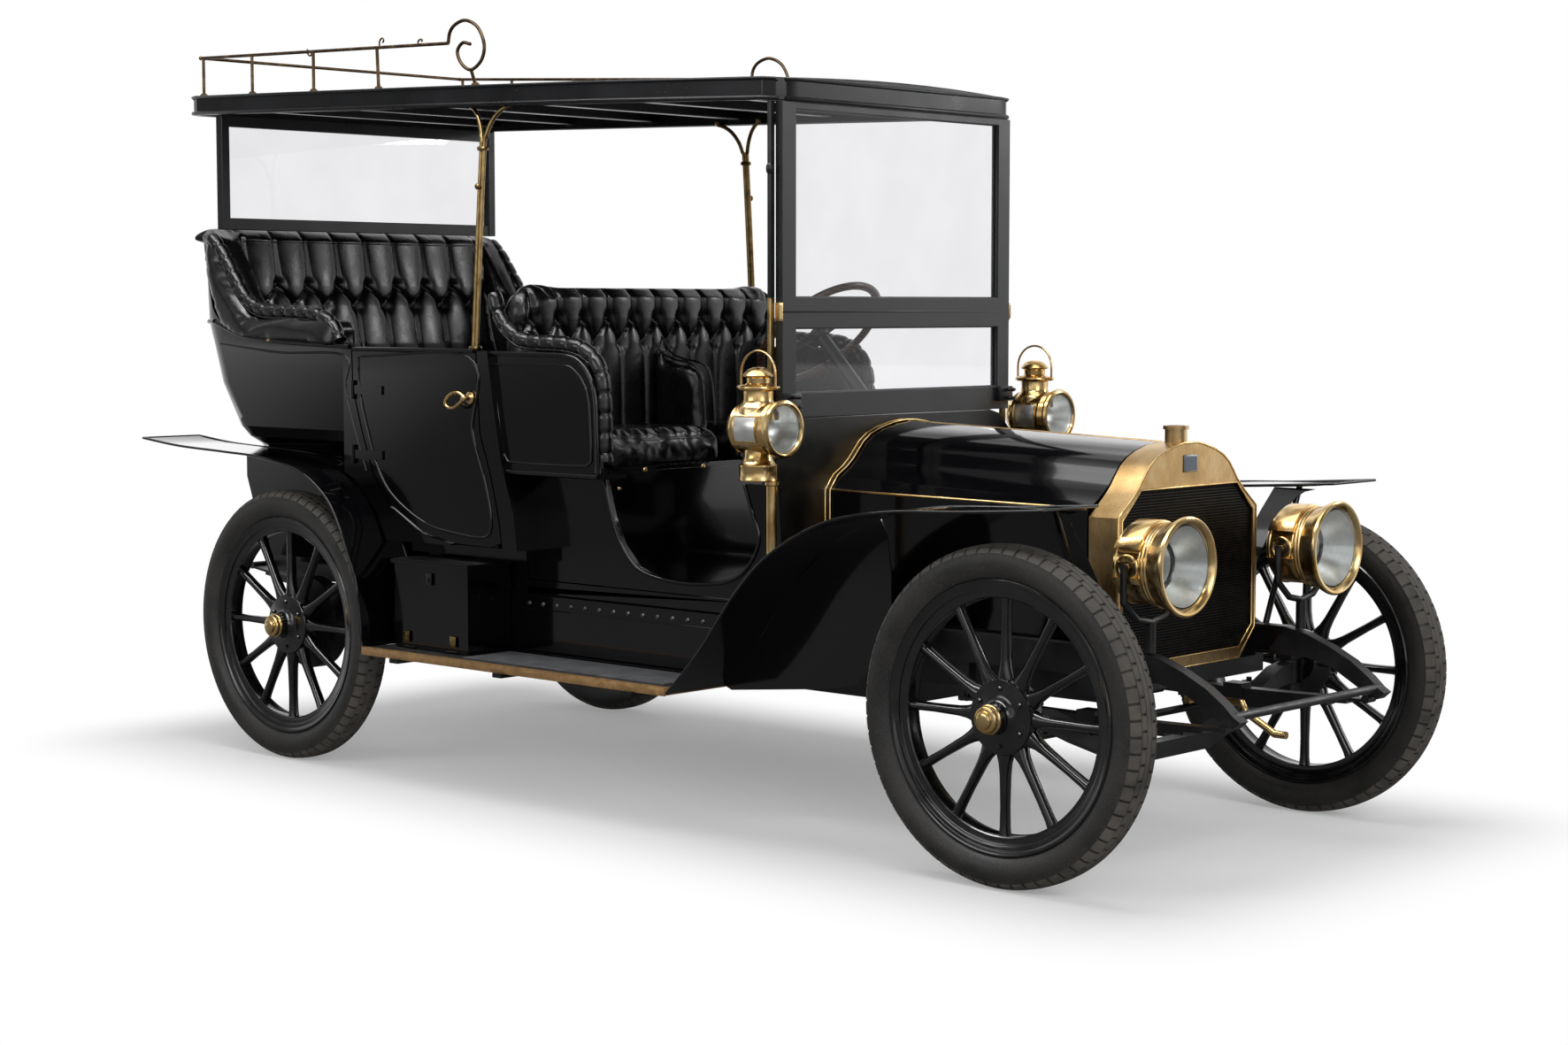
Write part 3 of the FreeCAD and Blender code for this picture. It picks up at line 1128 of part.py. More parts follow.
y0, y1 = number("FenderInner"), number("BoardHalfWidth")
front_plate = [(-545, 907), (-640, 868), (-738, 813), (-870, 696), (-1005, 527), (-1132, 398), (-1100, 385), (-760, 420),
               (-640, 440), (-540, 520), (-505, 620), (-505, 760), (-520, 860)]
rear_plate = [(-3380, 1004), (-3200, 997), (-3012, 987), (-2811, 954), (-2699, 902), (-2619, 827), (-2542, 682),
              (-2508, 600), (-2486, 412), (-2530, 412), (-2580, 640), (-3280, 640), (-3380, 900)]
one = fender(FRONT_FENDER, front_plate, y0, y1)
rail_face = number("RailHalfSpan + RailFlange / 2") + 0.3
iron = bars([(FX + 50, rail_face, 560), (FX + 50, rail_face + 30, 560), (FX + 50, y0 + 20, 966)], 9)
stay = bars([(FX - 620, rail_face, 560), (FX - 620, rail_face + 30, 560), (FX - 620, y0 + 2, 600)], 9)
node(both_sides(shaped(one.multiFuse([iron, stay]))), "front_fenders")
one = fender(REAR_FENDER, rear_plate, y0, y1)
node(both_sides(shaped(one)), "rear_fenders")

box_x0, box_x1 = "FrontAxleX - 2420", "FrontAxleX - 2070"
box_y0, box_y1 = "BoardInner - 18", "BoardInner - 18 + ToolboxDepth"
box_z0, box_z1 = "BoardTop + 0.3", "BoardTop + ToolboxHeight"
solid = box(box_x0, box_x1, box_y0, box_y1 + " - FlapThickness - 2", box_z0, box_z1)
hollow = box(box_x0 + " + 8", box_x1 + " - 8", box_y0 + " + 8", box_y1 + " + 8", box_z0 + " + 8", box_z1 + " - 12")
lid = box(box_x0 + " - 8", box_x1 + " + 8", box_y0, box_y1 + " + 8", box_z1 + " - 4", box_z1 + " + 8")
FLAP_AXIS = (box_y1 + " + FlapHingeRadius - 0.5", box_z0 + " + FlapHingeRadius + 3.2")
KNUCKLES = [
    # ahead of the front axle: start and end of the flap's knuckle, start and end of the box's knuckle
    (-2370, -2340, -2339.5, -2320),
    (-2150, -2120, -2169.5, -2150.5),
]
fixed = []
for flap_low, flap_high, box_low, box_high in KNUCKLES:
    low, high = "FrontAxleX + %s" % box_low, "FrontAxleX + %s" % box_high
    fixed.append(rod("X", low, high, FLAP_AXIS[0], FLAP_AXIS[1], "FlapHingeRadius"))
    fixed.append(box(low, high, box_y1 + " - FlapThickness - 8", FLAP_AXIS[0], box_z0, box_z0 + " + 2.7"))
    fixed.append(box(low, high, box_y1, FLAP_AXIS[0], box_z0, FLAP_AXIS[1]))
node(both_sides(fused([cut(solid, hollow), lid] + fixed)), "toolboxes")
flap = [box(box_x0 + " + 1", box_x1 + " - 1", box_y1 + " - FlapThickness - 0.5", box_y1 + " - 0.5",
            box_z0 + " + 3", box_z1 + " - 5")]
for flap_low, flap_high, box_low, box_high in KNUCKLES:
    low, high = "FrontAxleX + %s" % flap_low, "FrontAxleX + %s" % flap_high
    flap.append(rod("X", low, high, FLAP_AXIS[0], FLAP_AXIS[1], "FlapHingeRadius"))
    flap.append(box(low, high, box_y1 + " - 1", FLAP_AXIS[0], FLAP_AXIS[1], FLAP_AXIS[1] + " + FlapHingeRadius"))
flap = fused(flap)
node(flap, "toolbox_flap_left")
node(mirrored(flap), "toolbox_flap_right")

# ---------------------------------------------------------------------------------------------
# Lamps: headlamps on forked irons, side lamps on brass posts
# ---------------------------------------------------------------------------------------------
def saddle(centre, back, front, inner, outer, half_turn):
    """Part of a round band over the top of a lengthwise drum."""
    start = Vector(0, -math.sin(half_turn), math.cos(half_turn))
    corners = [centre + Vector(x, 0, 0) + start * r for x, r in
               ((back, inner), (front, inner), (front, outer), (back, outer))]
    face = Part.Face(Part.makePolygon(corners + corners[:1]))
    return outward(face.revolve(centre, Vector(-1, 0, 0), 2 * math.degrees(half_turn)))


LAMP_DRUM, TRUNNION_BACK, BOSS_RADIUS, BOSS_OUT = 103, 118, 35, 112
lamp = new_body("Headlamp")
turned(lamp, "XZ", [
    # radius, ahead of the rim: domed back, drum, flared rim, then the reflector's cone and mirror
    (0, -187), (52, -185), (82, -179), (98, -170), (LAMP_DRUM, -162), (LAMP_DRUM, -92), ("HeadlampRadius - 18", -60),
    ("HeadlampRadius - 7", -27), ("HeadlampRadius", -9), ("HeadlampRadius - 2", -2), ("HeadlampRadius - 7", 0),
    ("HeadlampRadius - 13", -1), ("HeadlampRadius - 25", -15), (62, -88), (55, -96), (54, -130), (0, -147)])
lamp.Placement = FreeCAD.Placement(Vector(0, 0, 0), FreeCAD.Rotation(Vector(0, 1, 0), 90))
place(lamp, "FrontAxleX + HeadlampAhead", "HeadlampInset", "HeadlampHeight")
trunnion_x = "FrontAxleX + HeadlampAhead - %d" % TRUNNION_BACK
bosses = rod("Y", "HeadlampInset - %d" % BOSS_OUT, "HeadlampInset + %d" % BOSS_OUT, trunnion_x, "HeadlampHeight",
             BOSS_RADIUS)
boss_gap = rod("Y", "HeadlampInset - %d + 17" % BOSS_OUT, "HeadlampInset + %d - 17" % BOSS_OUT, trunnion_x,
               "HeadlampHeight", BOSS_RADIUS + 1)
lamp_hub = Vector(number(trunnion_x), number("HeadlampInset"), number("HeadlampHeight"))
vent = shaped(saddle(lamp_hub, -34, 34, LAMP_DRUM - 2, LAMP_DRUM + 14, math.radians(60)), "Saddle")
node(both_sides(fused([lamp, cut(bosses, boss_gap), vent])), "headlamps")
glass = [rod("X", "FrontAxleX + HeadlampAhead - 12.5", "FrontAxleX + HeadlampAhead - 8.5", "HeadlampInset",
             "HeadlampHeight", "HeadlampRadius - 23.5")]
side_front = "FrontAxleX + SideLampAhead"
glass.append(rod("X", side_front + " - 7", side_front + " - 3", "SideLampInset", "SideLampHeight",
                 "SideLampRadius - 17.4"))
node(group(glass + [mirrored(g) for g in glass]), "lamp_glasses")

lx, ly, lz = lamp_hub
FORK_ROD, FORK_DROP = 9, 150
arm_y = BOSS_OUT + FORK_ROD + 1
fork = []
for side in (-1, 1):
    route = [(lx, ly + side * arm_y, lz), (lx, ly + side * arm_y, lz - 0.6 * FORK_DROP),
             (lx, ly + side * arm_y / 2, lz - 0.92 * FORK_DROP), (lx, ly, lz - FORK_DROP)]
    fork.append(bars(route, FORK_ROD))
    fork.append(bar((lx, ly + side * (BOSS_OUT + 0.4), lz), (lx, ly + side * (arm_y + 6), lz), FORK_ROD))
fork.append(bar((lx, ly, lz - FORK_DROP), (lx, ly, 585.6), 14))
node(both_sides(shaped(fork[0].multiFuse(fork[1:]))), "headlamp_brackets")

side_lamp = new_body("SideLamp")
turned(side_lamp, "XZ", [
    # radius, ahead of the rim: domed back, drum, bevelled rim, then the reflector
    (0, -185), (40, -181), (58, -171), (68, -158), (70, -150), (70, -42), (73, -38), (73, -24), ("SideLampRadius - 3", -17),
    ("SideLampRadius", -8), ("SideLampRadius - 3", -1), ("SideLampRadius - 10", 0), ("SideLampRadius - 15", -2),
    ("SideLampRadius - 17", -7), (61, -18), (50, -61), (30, -83), (0, -90)])
side_lamp.Placement = FreeCAD.Placement(Vector(0, 0, 0), FreeCAD.Rotation(Vector(0, 1, 0), 90))
place(side_lamp, side_front, "SideLampInset", "SideLampHeight")
chimney = new_body("Chimney")
turned(chimney, "XZ", [
    # radius, above the lamp's middle: domed cap, neck, flared ring, chimney, skirt
    (0, 170), (15, 169), (29, 163), (38, 154), (43, 147), (42, 144), (33, 141), (33, 126), (38, 122), (55, 119), (61, 113),
    (58, 107), (43, 104), (42, 80), (46, 70), (56, 60), (56, 55), (0, 55)])
font = new_body("OilFont")
turned(font, "XZ", [
    # radius, above the lamp's middle: neck and oil font
    (0, -55), (39, -55), (39, -78), (43, -90), (52, -101), (54.5, -104), (54.5, -146), (0, -146)])
STACK_BACK, POST_BACK, POST_RADIUS = 103, 52, 15.5
for stack in (chimney, font):
    place(stack, side_front + " - %d" % STACK_BACK, "SideLampInset", "SideLampHeight")
post = rod("Z", 560, "SideLampHeight - 140", side_front + " - %d" % POST_BACK, "SideLampInset", POST_RADIUS)
stack = [chimney, font, post]
under = at([(x, z + 0.3) for x, z in FRONT_FENDER])
skirt = [spline([(x, 500, z) for x, z in under]),
         Part.makePolygon([Vector(under[-1][0], 500, under[-1][1]), Vector(under[-1][0], 500, 0),
                           Vector(under[0][0], 500, 0), Vector(under[0][0], 500, under[0][1])])]
skirt = Part.Face(Part.Wire(skirt[0].Edges + skirt[1].Edges)).extrude(Vector(0, 300, 0))
node(both_sides(cut(fused([side_lamp] + stack), shaped(skirt, "FenderSpace"))), "side_lamps")

# ---------------------------------------------------------------------------------------------
# Steering column and wheel, starting handle
# ---------------------------------------------------------------------------------------------
HUB = Vector(FX - 1540, number("SteeringInset"), 1390)
slope = Vector(165, 0, -170).normalize()
foot = HUB + slope * ((HUB.x - (FX - 1000)) / -slope.x)
column = bar(tuple(HUB + slope * 18.4), tuple(foot), 21)
gearbox_x1 = number("FrontAxleX + DashAhead - DashThickness") - 0.3
gearbox = Part.makeBox(105, 90, 110, Vector(gearbox_x1 - 105, foot.y - 45, foot.z - 60))
node(shaped(column.fuse(gearbox)), "steering_column")

wheel_body = new_body("SteeringWheel")
rim = sketch_on(wheel_body, "XZ")
circle(rim, "SteeringWheelRadius", 0, "SteeringRimRadius")
ring = wheel_body.newObject("PartDesign::Revolution", "Rim")
ring.Profile = rim
ring.ReferenceAxis = (rim, ["V_Axis"])
ring.Angle = 360
turned(wheel_body, "XZ", [(0, -18), (26, -18), (34, -6), (34, 6), (22, 16), (0, 18)])
arm_sketch = closed(sketch_on(wheel_body, "YZ", 20), rect(-11, 11, -4, 4))
arm_pad = feature(wheel_body, "Pad", arm_sketch, Length="SteeringWheelRadius - 24")
arms = wheel_body.newObject("PartDesign::PolarPattern", "Arms")
arms.Originals = [arm_pad]
arms.Axis = (origin_of(wheel_body, "Z_Axis"), [""])
arms.Angle = 360
arms.Occurrences = 4
wheel_body.Tip = arms
tilt = FreeCAD.Rotation(Vector(0, 0, 1), -slope)
wheel_body.Placement = FreeCAD.Placement(HUB, tilt)
node(wheel_body, "steering_wheel")

handle = bars([(FX + 72, 0, 420), (FX + 240, 0, 420), (FX + 252, 0, 397), (FX + 344, 0, 347), (FX + 380, 0, 347)], 10)
bracket = Part.makeBox(16, 40, 60, Vector(FX + 70.3, -20, 405))
node(shaped(handle.fuse(bracket)), "starting_handle")

# ---------------------------------------------------------------------------------------------
# Export
# ---------------------------------------------------------------------------------------------
doc.recompute()
for obj in doc.Objects:
    bad = [state for state in obj.State if state in ("Invalid", "Error")]
    if bad:
        raise RuntimeError("%s (%s) is %s" % (obj.Label, obj.Name, bad))
for old in os.listdir("parts"):
    os.remove(os.path.join("parts", old))
for obj in NODES:
    if obj.Shape.isNull() or not obj.Shape.isValid() or not obj.Shape.Solids:
        raise RuntimeError("%s has no valid solid" % obj.Label)
    obj.Shape.exportStep(os.path.join("parts", obj.Label + ".step"))
print(len(NODES), "sub-parts,", sum(len(o.Shape.Solids) for o in NODES), "solids")
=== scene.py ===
"""A brass era open touring car: finishes, tyres, upholstery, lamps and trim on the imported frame."""
import json
import math

import bpy
from mathutils import Matrix, Vector


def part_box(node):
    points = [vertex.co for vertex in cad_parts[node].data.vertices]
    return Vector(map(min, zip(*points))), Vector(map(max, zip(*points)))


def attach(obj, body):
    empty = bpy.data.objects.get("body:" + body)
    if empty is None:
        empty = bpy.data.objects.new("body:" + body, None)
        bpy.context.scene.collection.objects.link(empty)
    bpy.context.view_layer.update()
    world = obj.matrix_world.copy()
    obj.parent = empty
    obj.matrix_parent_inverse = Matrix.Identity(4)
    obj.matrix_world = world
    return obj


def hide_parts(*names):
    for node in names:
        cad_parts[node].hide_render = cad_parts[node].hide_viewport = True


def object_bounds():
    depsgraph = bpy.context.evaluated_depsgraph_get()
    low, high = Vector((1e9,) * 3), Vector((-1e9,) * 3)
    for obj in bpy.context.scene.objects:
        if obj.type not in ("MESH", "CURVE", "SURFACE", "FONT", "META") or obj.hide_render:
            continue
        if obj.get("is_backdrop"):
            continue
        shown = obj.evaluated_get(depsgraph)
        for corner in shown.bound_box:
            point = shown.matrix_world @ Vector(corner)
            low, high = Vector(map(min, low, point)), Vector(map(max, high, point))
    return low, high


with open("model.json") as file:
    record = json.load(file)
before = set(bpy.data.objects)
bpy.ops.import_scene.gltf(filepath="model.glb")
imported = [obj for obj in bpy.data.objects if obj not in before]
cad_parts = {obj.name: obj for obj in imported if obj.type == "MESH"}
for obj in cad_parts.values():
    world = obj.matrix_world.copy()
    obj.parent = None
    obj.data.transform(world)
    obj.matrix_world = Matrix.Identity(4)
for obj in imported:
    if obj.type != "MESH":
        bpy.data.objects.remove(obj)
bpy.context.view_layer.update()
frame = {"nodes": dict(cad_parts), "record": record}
scene = bpy.context.scene

# ==== Studio: a white paper floor that runs back under soft lamps. The car stands on it on its tyres,
# and an overhead strip draws the long highlights along its painted panels.
LENS = 61.355
EYE = Vector((5.7078, -6.0516, 1.4767))
YAW, PITCH = math.radians(132.44), math.radians(-4.626)
FAR_ENOUGH = 200


def facing(place, direction):
    """The matrix that sets a camera or lamp at a place and points it along a direction."""
    return Matrix.Translation(place) @ direction.to_track_quat("-Z", "Y").to_matrix().to_4x4()


def rgb(colour):
    """An sRGB hex colour as the linear values that a shader takes."""
    parts = [int(colour[i:i + 2], 16) / 255 for i in (1, 3, 5)]
    return tuple(p / 12.92 if p <= 0.04045 else ((p + 0.055) / 1.055) ** 2.4 for p in parts) + (1.0,)


def add(tree, kind, inputs=None, **settings):
    """Adds a shader node, sets its properties, and gives its inputs values or other nodes' outputs."""
    made = tree.nodes.new("ShaderNode" + kind)
    for name, value in settings.items():
        setattr(made, name, value)
    for name, value in (inputs or {}).items():
        if isinstance(value, bpy.types.NodeSocket):
            tree.links.new(value, made.inputs[name])
        else:
            made.inputs[name].default_value = value
    return made


def calc(tree, operation, *values, vector=False):
    """One step of arithmetic on numbers, or on vectors."""
    made = add(tree, "VectorMath" if vector else "Math", dict(enumerate(values)), operation=operation)
    return made.outputs["Value" if operation in ("LENGTH", "DOT_PRODUCT") or not vector else "Vector"]


def spread(tree, value, low, high, start=0.3, end=0.7, **settings):
    """A value stretched between two numbers."""
    return add(tree, "MapRange", {"Value": value, "From Min": start, "From Max": end,
                                  "To Min": low, "To Max": high}, **settings).outputs["Result"]


def blend(tree, share, first, second):
    """Two shaders mixed by a share."""
    return add(tree, "MixShader", {0: share, 1: first.outputs[0], 2: second.outputs[0]}).outputs[0]


def tint(tree, share, first, second):
    """Two colours mixed by a share."""
    return add(tree, "Mix", {"Factor": share, "A": first, "B": second}, data_type="RGBA").outputs["Result"]


def ramp(tree, factor, *stops):
    """A colour ramp on a factor; stops are (position, hex colour) in rising order."""
    made = add(tree, "ValToRGB", {"Fac": factor})
    line = made.color_ramp
    while len(line.elements) < len(stops):
        line.elements.new(0.5)
    for element, (position, colour) in zip(line.elements, stops):
        element.position = position
        element.color = rgb(colour)
    return made.outputs["Color"]


scene.view_settings.view_transform = "Standard"
camera = bpy.data.objects.new("camera", bpy.data.cameras.new("camera"))
scene.collection.objects.link(camera)
camera.data.lens = LENS
camera.data.clip_end = FAR_ENOUGH
level = Vector((math.cos(YAW), math.sin(YAW), 0.0))
camera.matrix_world = facing(EYE, level * math.cos(PITCH) + Vector((0, 0, math.sin(PITCH))))
scene.camera = camera

# Seen straight on, the room is blank paper. In a mirror it is dim ahead, bright behind and cluttered.
WHITE = (1, 1, 1, 1)
world = bpy.data.worlds.new("studio")
scene.world = world
world.use_nodes = True
sky = world.node_tree
sky.nodes.clear()
ray = add(sky, "LightPath").outputs
seen = calc(sky, "MAXIMUM", ray["Is Camera Ray"], ray["Is Transmission Ray"])
where = add(sky, "TexCoord").outputs["Generated"]
turned = add(sky, "Mapping", {"Vector": where, "Rotation": (0.0, 0.0, -YAW)}, vector_type="POINT")
onward = add(sky, "SeparateXYZ", {"Vector": turned.outputs["Vector"]}).outputs["X"]
around = calc(sky, "MAXIMUM", spread(sky, onward, 0.27, 1.0, 0.02, 0.75),
              spread(sky, onward, 0.0, 0.8, -0.6, -0.9))
shapes = add(sky, "TexNoise", {"Vector": where, "Scale": 3.2, "Detail": 2.0}).outputs["Fac"]
uneven = calc(sky, "MULTIPLY", around, spread(sky, shapes, 0.45, 1.5, 0.4, 0.6))
room, paper = (add(sky, "Background", {"Color": WHITE, "Strength": strength}) for strength in (uneven, 1.0))
add(sky, "OutputWorld", {"Surface": blend(sky, seen, room, paper)})

LAMPS = [
    # name, place, aimed at, width, depth, watts, lights matte surfaces
    ("overhead", (0.4, -0.8, 5.2), (0.0, 0.0, 0.8), 5.6, 2.2, 95, True),
    ("front_left", (6.5, -2.0, 3.6), (0.8, 0.0, 0.9), 2.6, 2.6, 70, True),
    ("near_side", (-1.5, -7.0, 3.2), (-0.4, 0.0, 1.0), 4.4, 1.6, 70, True),
    ("long_strip", (0.0, -2.2, 4.6), (0.0, 0.0, 1.0), 6.0, 0.7, 150, False),
    ("front_wall", (6.6, 7.0, 1.7), (1.2, 0.0, 1.1), 6.0, 3.2, 45, False),
    ("seat_strip", (4.2, 5.2, 3.6), (-1.4, 0.0, 1.3), 0.5, 2.2, 60, False),
]
for name, place, aim, width, depth, watts, matte in LAMPS:
    lamp = bpy.data.lights.new(name, "AREA")
    lamp.shape = "RECTANGLE"
    lamp.size, lamp.size_y = width, depth
    lamp.energy = watts
    hung = bpy.data.objects.new(name, lamp)
    scene.collection.objects.link(hung)
    hung.matrix_world = facing(place, Vector(aim) - Vector(place))
    hung.visible_camera = False
    hung.visible_diffuse = matte


def material(name):
    """A new finish with nothing in its tree."""
    made = bpy.data.materials.new(name)
    made.use_nodes = True
    made.node_tree.nodes.clear()
    return made, made.node_tree


def coat(piece, paint):
    """Gives a piece one finish in place of all that it had."""
    piece.data.materials.clear()
    piece.data.materials.append(paint)


FLOOR_SIZE, SHADOWED, BLANK_PAST = 90, (1.95, 0.75, 0.0), 0.6
bpy.ops.object.select_all(action="DESELECT")
bpy.ops.mesh.primitive_plane_add(size=FLOOR_SIZE)
floor = bpy.context.active_object
floor.name = "paper_floor"
# Matt paper: it holds the car's shadow near the car's own rectangle, and blanks to white further off.
paper_white, sheet = material("matt_white_paper")
spot = add(sheet, "TexCoord").outputs["Object"]
beyond = calc(sheet, "ABSOLUTE", spot, vector=True)
beyond = calc(sheet, "SUBTRACT", beyond, SHADOWED, vector=True)
beyond = calc(sheet, "MAXIMUM", beyond, (0.0, 0.0, 0.0), vector=True)
distance = calc(sheet, "LENGTH", beyond, vector=True)
clear = spread(sheet, distance, 0.25, 1.0, 0.0, BLANK_PAST, interpolation_type="SMOOTHSTEP")
behind = calc(sheet, "DOT_PRODUCT", spot, level, vector=True)
ray = add(sheet, "LightPath").outputs
viewed = calc(sheet, "MAXIMUM", ray["Is Camera Ray"], ray["Is Transmission Ray"])
mirrored = calc(sheet, "MULTIPLY", ray["Is Glossy Ray"], spread(sheet, behind, 0.0, 1.0, 1.0, 5.0))
share = calc(sheet, "MULTIPLY", clear, calc(sheet, "MAXIMUM", viewed, mirrored))
# Beside and in front of the car the paper is painted a darker grey for mirror rays only: painted shade in the
# panels' reflections there, in place of a dim room.
darker_in_reflections = calc(sheet, "SUBTRACT", ray["Is Glossy Ray"], mirrored)
lit = add(sheet, "BsdfDiffuse", {"Color": tint(sheet, darker_in_reflections, rgb("#f6f6f6"), rgb("#909090")), "Roughness": 0.6})
blank = add(sheet, "Emission", {"Color": WHITE, "Strength": 1.0})
add(sheet, "OutputMaterial", {"Surface": blend(sheet, share, lit, blank)})
coat(floor, paper_white)
floor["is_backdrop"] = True

# ==== Chassis: pressed steel side rails and cross members, forged axles and leaf springs, brushed with
# black enamel. Years of road grit have dulled it, so it shines less than the coachwork.
def own(tree):
    """The car's own coordinates, in metres."""
    return add(tree, "TexCoord").outputs["Object"]


def grain(tree, millimetres, detail=3.0, roughness=0.5, vector=None):
    """A noise of a real size."""
    inputs = {"Vector": vector or own(tree), "Scale": 1000 / millimetres, "Detail": detail,
              "Roughness": roughness}
    return add(tree, "TexNoise", inputs).outputs["Fac"]


def pebbles(tree, millimetres):
    """Small cells of a real size, such as pores."""
    return add(tree, "TexVoronoi", {"Vector": own(tree), "Scale": 1000 / millimetres}).outputs["Distance"]


def bump(tree, height, millimetres, strength=1.0, **below):
    """A relief of a real height; Normal is the relief below it."""
    return add(tree, "Bump", {"Height": height, "Distance": millimetres / 1000, "Strength": strength,
                              **below}).outputs["Normal"]


def close(tree, colour, **sockets):
    """The shader and the output; a socket name's underscores are spaces."""
    inputs = {name.replace("_", " "): value for name, value in sockets.items()}
    shader = add(tree, "BsdfPrincipled", {"Base Color": colour, **inputs})
    add(tree, "OutputMaterial", {"Surface": shader.outputs["BSDF"]})


def plain(name, size, detail, stops, rough, relief=None, **sockets):
    """A finish whose colour follows one noise, and its roughness too where rough is two numbers. The relief
    is a second, finer noise: (size, detail, height, strength), the size and height in millimetres."""
    made, tree = material(name)
    patches = grain(tree, size, detail)
    if relief:
        fine, fine_detail, height, strength = relief
        sockets["Normal"] = bump(tree, grain(tree, fine, fine_detail), height, strength)
    sockets["Roughness"] = spread(tree, patches, *rough) if isinstance(rough, tuple) else rough
    close(tree, ramp(tree, patches, *stops), **sockets)
    return made


# Brushed chassis enamel: brush marks a few millimetres wide, and grit that breaks up the gloss.
chassis_enamel = plain(
    "brushed_black_chassis_enamel", 90, 6, [(0.35, "#0c0c0d"), (0.62, "#16161a"), (0.8, "#2a2723")],
    (0.28, 0.5), (4, 2, 0.25, 0.5))

BODY_OF = {node: body for body, nodes in frame["record"]["behaviour"]["bodies"].items() for node in nodes}


def alone(piece):
    """Selects one piece and nothing else."""
    bpy.ops.object.select_all(action="DESELECT")
    bpy.context.view_layer.objects.active = piece
    piece.select_set(True)


def open_all(piece=None):
    """Opens a piece for editing with everything in it selected."""
    if piece:
        alone(piece)
    bpy.ops.object.mode_set(mode="EDIT")
    bpy.ops.mesh.select_all(action="SELECT")


def shut(smooth_angle=None):
    """Closes the open piece; past an angle its arrises stay sharp."""
    bpy.ops.object.mode_set(mode="OBJECT")
    if smooth_angle:
        bpy.ops.object.shade_smooth_by_angle(angle=math.radians(smooth_angle))


def worked(piece, kind, **settings):
    """Adds a modifier to the selected piece and applies it."""
    step = piece.modifiers.new(kind.lower(), kind)
    for name, value in settings.items():
        setattr(step, name, value)
    bpy.ops.object.modifier_apply(modifier=step.name)


def duplicate(node):
    """An editable copy of a CAD node, its seams merged, left open in edit mode."""
    piece = frame["nodes"][node].copy()
    piece.data = piece.data.copy()
    piece.parent = None
    scene.collection.objects.link(piece)
    piece.hide_viewport = piece.hide_render = False
    alone(piece)
    bpy.ops.mesh.customdata_custom_splitnormals_clear()
    open_all()
    bpy.ops.mesh.remove_doubles(threshold=0.00002)
    return piece


def dressed(node, paint, edge=0.0015, turn=32):
    """A copy of a CAD node with its triangles joined into panels and its arrises eased, in a new finish."""
    piece = duplicate(node)
    piece.name = node + "_finished"
    bpy.ops.mesh.dissolve_limited(angle_limit=math.radians(0.6))
    shut()
    if edge:
        worked(piece, "BEVEL", width=edge, segments=2, limit_method="ANGLE", angle_limit=math.radians(turn))
    bpy.ops.object.shade_smooth_by_angle(angle=math.radians(turn))
    worked(piece, "WEIGHTED_NORMAL", keep_sharp=True)
    coat(piece, paint)
    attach(piece, BODY_OF[node])
    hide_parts(node)


for node in ("chassis_frame", "front_axle", "rear_axle", "leaf_springs", "headlamp_brackets",
             "knuckle_left", "knuckle_right", "tie_rod", "steering_column"):
    dressed(node, chassis_enamel, edge=0.0012)

# ==== Wheels: ash artillery spokes wedged round a bolted hub flange and let into a steamed felloe, with
# a shrunk steel rim. All is primed and varnished black; the hub caps are turned brass.
DIRECTIONS = {"X": Vector((1, 0, 0)), "Y": Vector((0, 1, 0)), "Z": Vector((0, 0, 1))}


def begin(name, kind, **how):
    """Starts a piece from a primitive, alone in the selection and open in edit mode."""
    bpy.ops.object.select_all(action="DESELECT")
    getattr(bpy.ops.mesh, "primitive_" + kind + "_add")(**how)
    bpy.context.active_object.name = name
    open_all()
    return bpy.context.active_object


def end(piece, smooth=35):
    """Closes a piece: doubles merged, faces turned outward, place in the mesh, arrises kept past an angle."""
    bpy.ops.mesh.select_all(action="SELECT")
    bpy.ops.mesh.remove_doubles(threshold=0.00001)
    bpy.ops.mesh.normals_make_consistent(inside=False)
    shut()
    bpy.ops.object.transform_apply(location=True, rotation=True, scale=True)
    bpy.ops.object.shade_smooth_by_angle(angle=math.radians(smooth))
    return piece


def extrude(step):
    """Pulls what is selected out by a step."""
    bpy.ops.mesh.extrude_region_move(TRANSFORM_OT_translate={"value": step})


def traced(name, spots):
    """A wire drawn from place to place, left open with all of it selected."""
    piece = begin(name, "plane", size=0.001, location=spots[0])
    bpy.ops.mesh.merge(type="CENTER")
    for here, there in zip(spots, spots[1:]):
        extrude(Vector(there) - Vector(here))
    bpy.ops.mesh.select_all(action="SELECT")
    return piece


def lathe(name, profile, steps, centre=(0, 0, 0), axis="Y", smooth=35):
    """Turns a profile of (radius, along the axis) in millimetres, as on a lathe."""
    along = DIRECTIONS[axis]
    out = DIRECTIONS["Z" if axis == "X" else "X"]
    piece = traced(name, [Vector(centre) + out * (r / 1000) + along * (a / 1000) for r, a in profile])
    bpy.ops.mesh.spin(steps=steps, angle=math.tau, center=centre, axis=along)
    return end(piece, smooth)


def drawn(name, stations, sides=14):
    """Draws a rod out along Z through (height, width in X, depth in Y) stations in millimetres."""
    height, width, depth = [size / 1000 for size in stations[0]]
    piece = begin(name, "circle", vertices=sides, radius=0.5, fill_type="NGON", location=(0, 0, height))
    bpy.ops.transform.resize(value=(width, depth, 1))
    for (z0, w0, d0), (z1, w1, d1) in zip(stations, stations[1:]):
        extrude((0, 0, (z1 - z0) / 1000))
        bpy.ops.transform.resize(value=(w1 / w0, d1 / d0, 1))
    return end(piece, 50)


